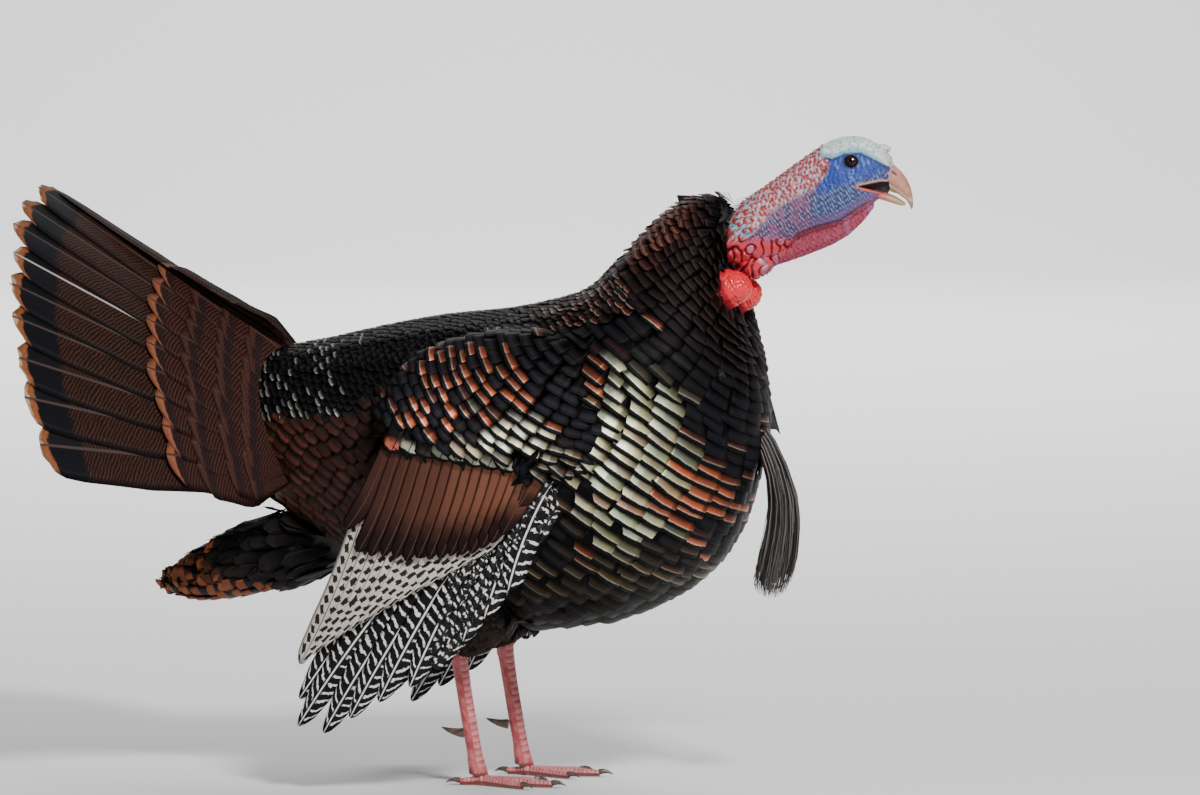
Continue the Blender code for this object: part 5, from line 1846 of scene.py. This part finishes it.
def make_legs():
    """Scaled shanks and toes, claws and spurs."""
    scales = horn_material("leg_scales", 0.38, (700.0, 0.3), 0.0004)
    claws = horn_material("claw_horn", 0.25, (400.0, 0.5))
    for sign, side in SIDES:
        refined("leg_" + side, ["shank_" + side, "foot_" + side], 0.0010, 4, leg_shape(sign), scales)
        names = [f"claw_{toe}_{side}" for toe in ("outer", "middle", "inner", "hind")]
        refined("claws_" + side, names, 0.0005, 3, shape_claw, claws)
        refined("spur_horn_" + side, ["spur_" + side], 0.0005, 3, shape_claw, claws)


# ---------------------------------------------------------------- stage

def backdrop_mesh():
    """A floor that curves up into a wall well behind the bird, square to the camera."""
    turn = math.radians(CAMERA_AZIMUTH)
    look = np.array([-math.sin(turn), math.cos(turn), 0.0])
    across = np.array([math.cos(turn), math.sin(turn), 0.0])
    floor_end, radius, half_width, height = 17.0, 6.0, 40.0, 16.0
    profile = [(-40.0, 0.0), (0.0, 0.0)]
    for step in range(25):
        angle = 0.5 * math.pi * step / 24
        profile.append((floor_end + radius * math.sin(angle), radius * (1 - math.cos(angle))))
    profile.append((floor_end + radius, height))
    verts = [look * depth + across * side + (0.0, 0.0, z)
             for depth, z in profile for side in (-half_width, half_width)]
    faces = [(2 * k, 2 * k + 1, 2 * k + 3, 2 * k + 2) for k in range(len(profile) - 1)]
    mesh = bpy.data.meshes.new("floor")
    mesh.from_pydata([tuple(v) for v in verts], [], faces)
    mesh.shade_smooth()
    return mesh


def make_stage():
    """Pale floor and wall, and soft lights; some of the lamps light only the wall, or the eyes' gloss."""
    floor_shader = Shader("floor")
    tone = floor_shader.noise(0.6, detail=1.0)
    shade = 0.74 + tone * 0.02
    floor_shader.set(Base_Color=floor_shader.join(shade, shade, shade), Roughness=0.9)
    mesh = backdrop_mesh()
    mesh.materials.append(floor_shader.material)
    floor = shown("floor", mesh)
    backdrop_only = bpy.data.collections.new("backdrop_only")
    backdrop_only.objects.link(floor)
    eyes_only = bpy.data.collections.new("eyes_only")
    for _, side in SIDES:
        eyes_only.objects.link(bpy.data.objects["eyeball_" + side])
    receivers = {"near_wash": backdrop_only, "far_wash": backdrop_only, "eye_light": eyes_only}
    world = bpy.data.worlds.new("studio")
    world.use_nodes = True
    world.node_tree.nodes["Background"].inputs[0].default_value = (0.80, 0.82, 0.85, 1.0)
    world.node_tree.nodes["Background"].inputs[1].default_value = 0.18
    bpy.context.scene.world = world
    for name, place, goal, watts, wide in (("key", (2.4, -3.4, 3.6), AIM, 320.0, 0.9),
                                           ("fill", (-3.2, -3.0, 1.6), AIM, 24.0, 2.4),
                                           ("rim", (-1.0, 3.4, 3.0), AIM, 25.0, 2.0),
                                           ("eye_light", (2.6, -3.9, 3.9), AIM, 1500.0, 2.0),
                                           ("near_wash", (-1.2, 6.2, 6.0), (-1.5, 7.2, 0.0), 700.0, 6.0),
                                           ("far_wash", (-3.4, 13.5, 8.0), (-3.9, 16.0, 0.0), 1850.0, 8.0)):
        lamp = bpy.data.lights.new(name, 'AREA')
        lamp.energy = watts
        lamp.size = wide
        light = shown(name, lamp)
        light.location = place
        if name in receivers:
            light.light_linking.receiver_collection = receivers[name]
            light.visible_diffuse = name != "eye_light"
        light.rotation_euler = (Vector(goal) - Vector(place)).to_track_quat('-Z', 'Y').to_euler()


def make_camera():
    """The photograph's view of the bird."""
    turn, rise = math.radians(CAMERA_AZIMUTH), math.radians(CAMERA_HEIGHT)
    back_way = Vector((math.sin(turn) * math.cos(rise), -math.cos(turn) * math.cos(rise), math.sin(rise)))
    aim = Vector(AIM) + Vector(SHIFT)
    lens = bpy.data.cameras.new("camera")
    lens.sensor_width = SENSOR
    lens.lens = CAMERA_LENS
    lens.clip_end = 200.0
    camera = shown("camera", lens)
    camera.location = aim + back_way * CAMERA_DISTANCE
    camera.rotation_euler = back_way.to_track_quat('Z', 'Y').to_euler()
    bpy.context.scene.camera = camera


body_plumage()
make_tail()
make_wings()
make_skin()
make_eyes()
make_bill()
make_beard()
make_legs()
make_stage()
make_camera()
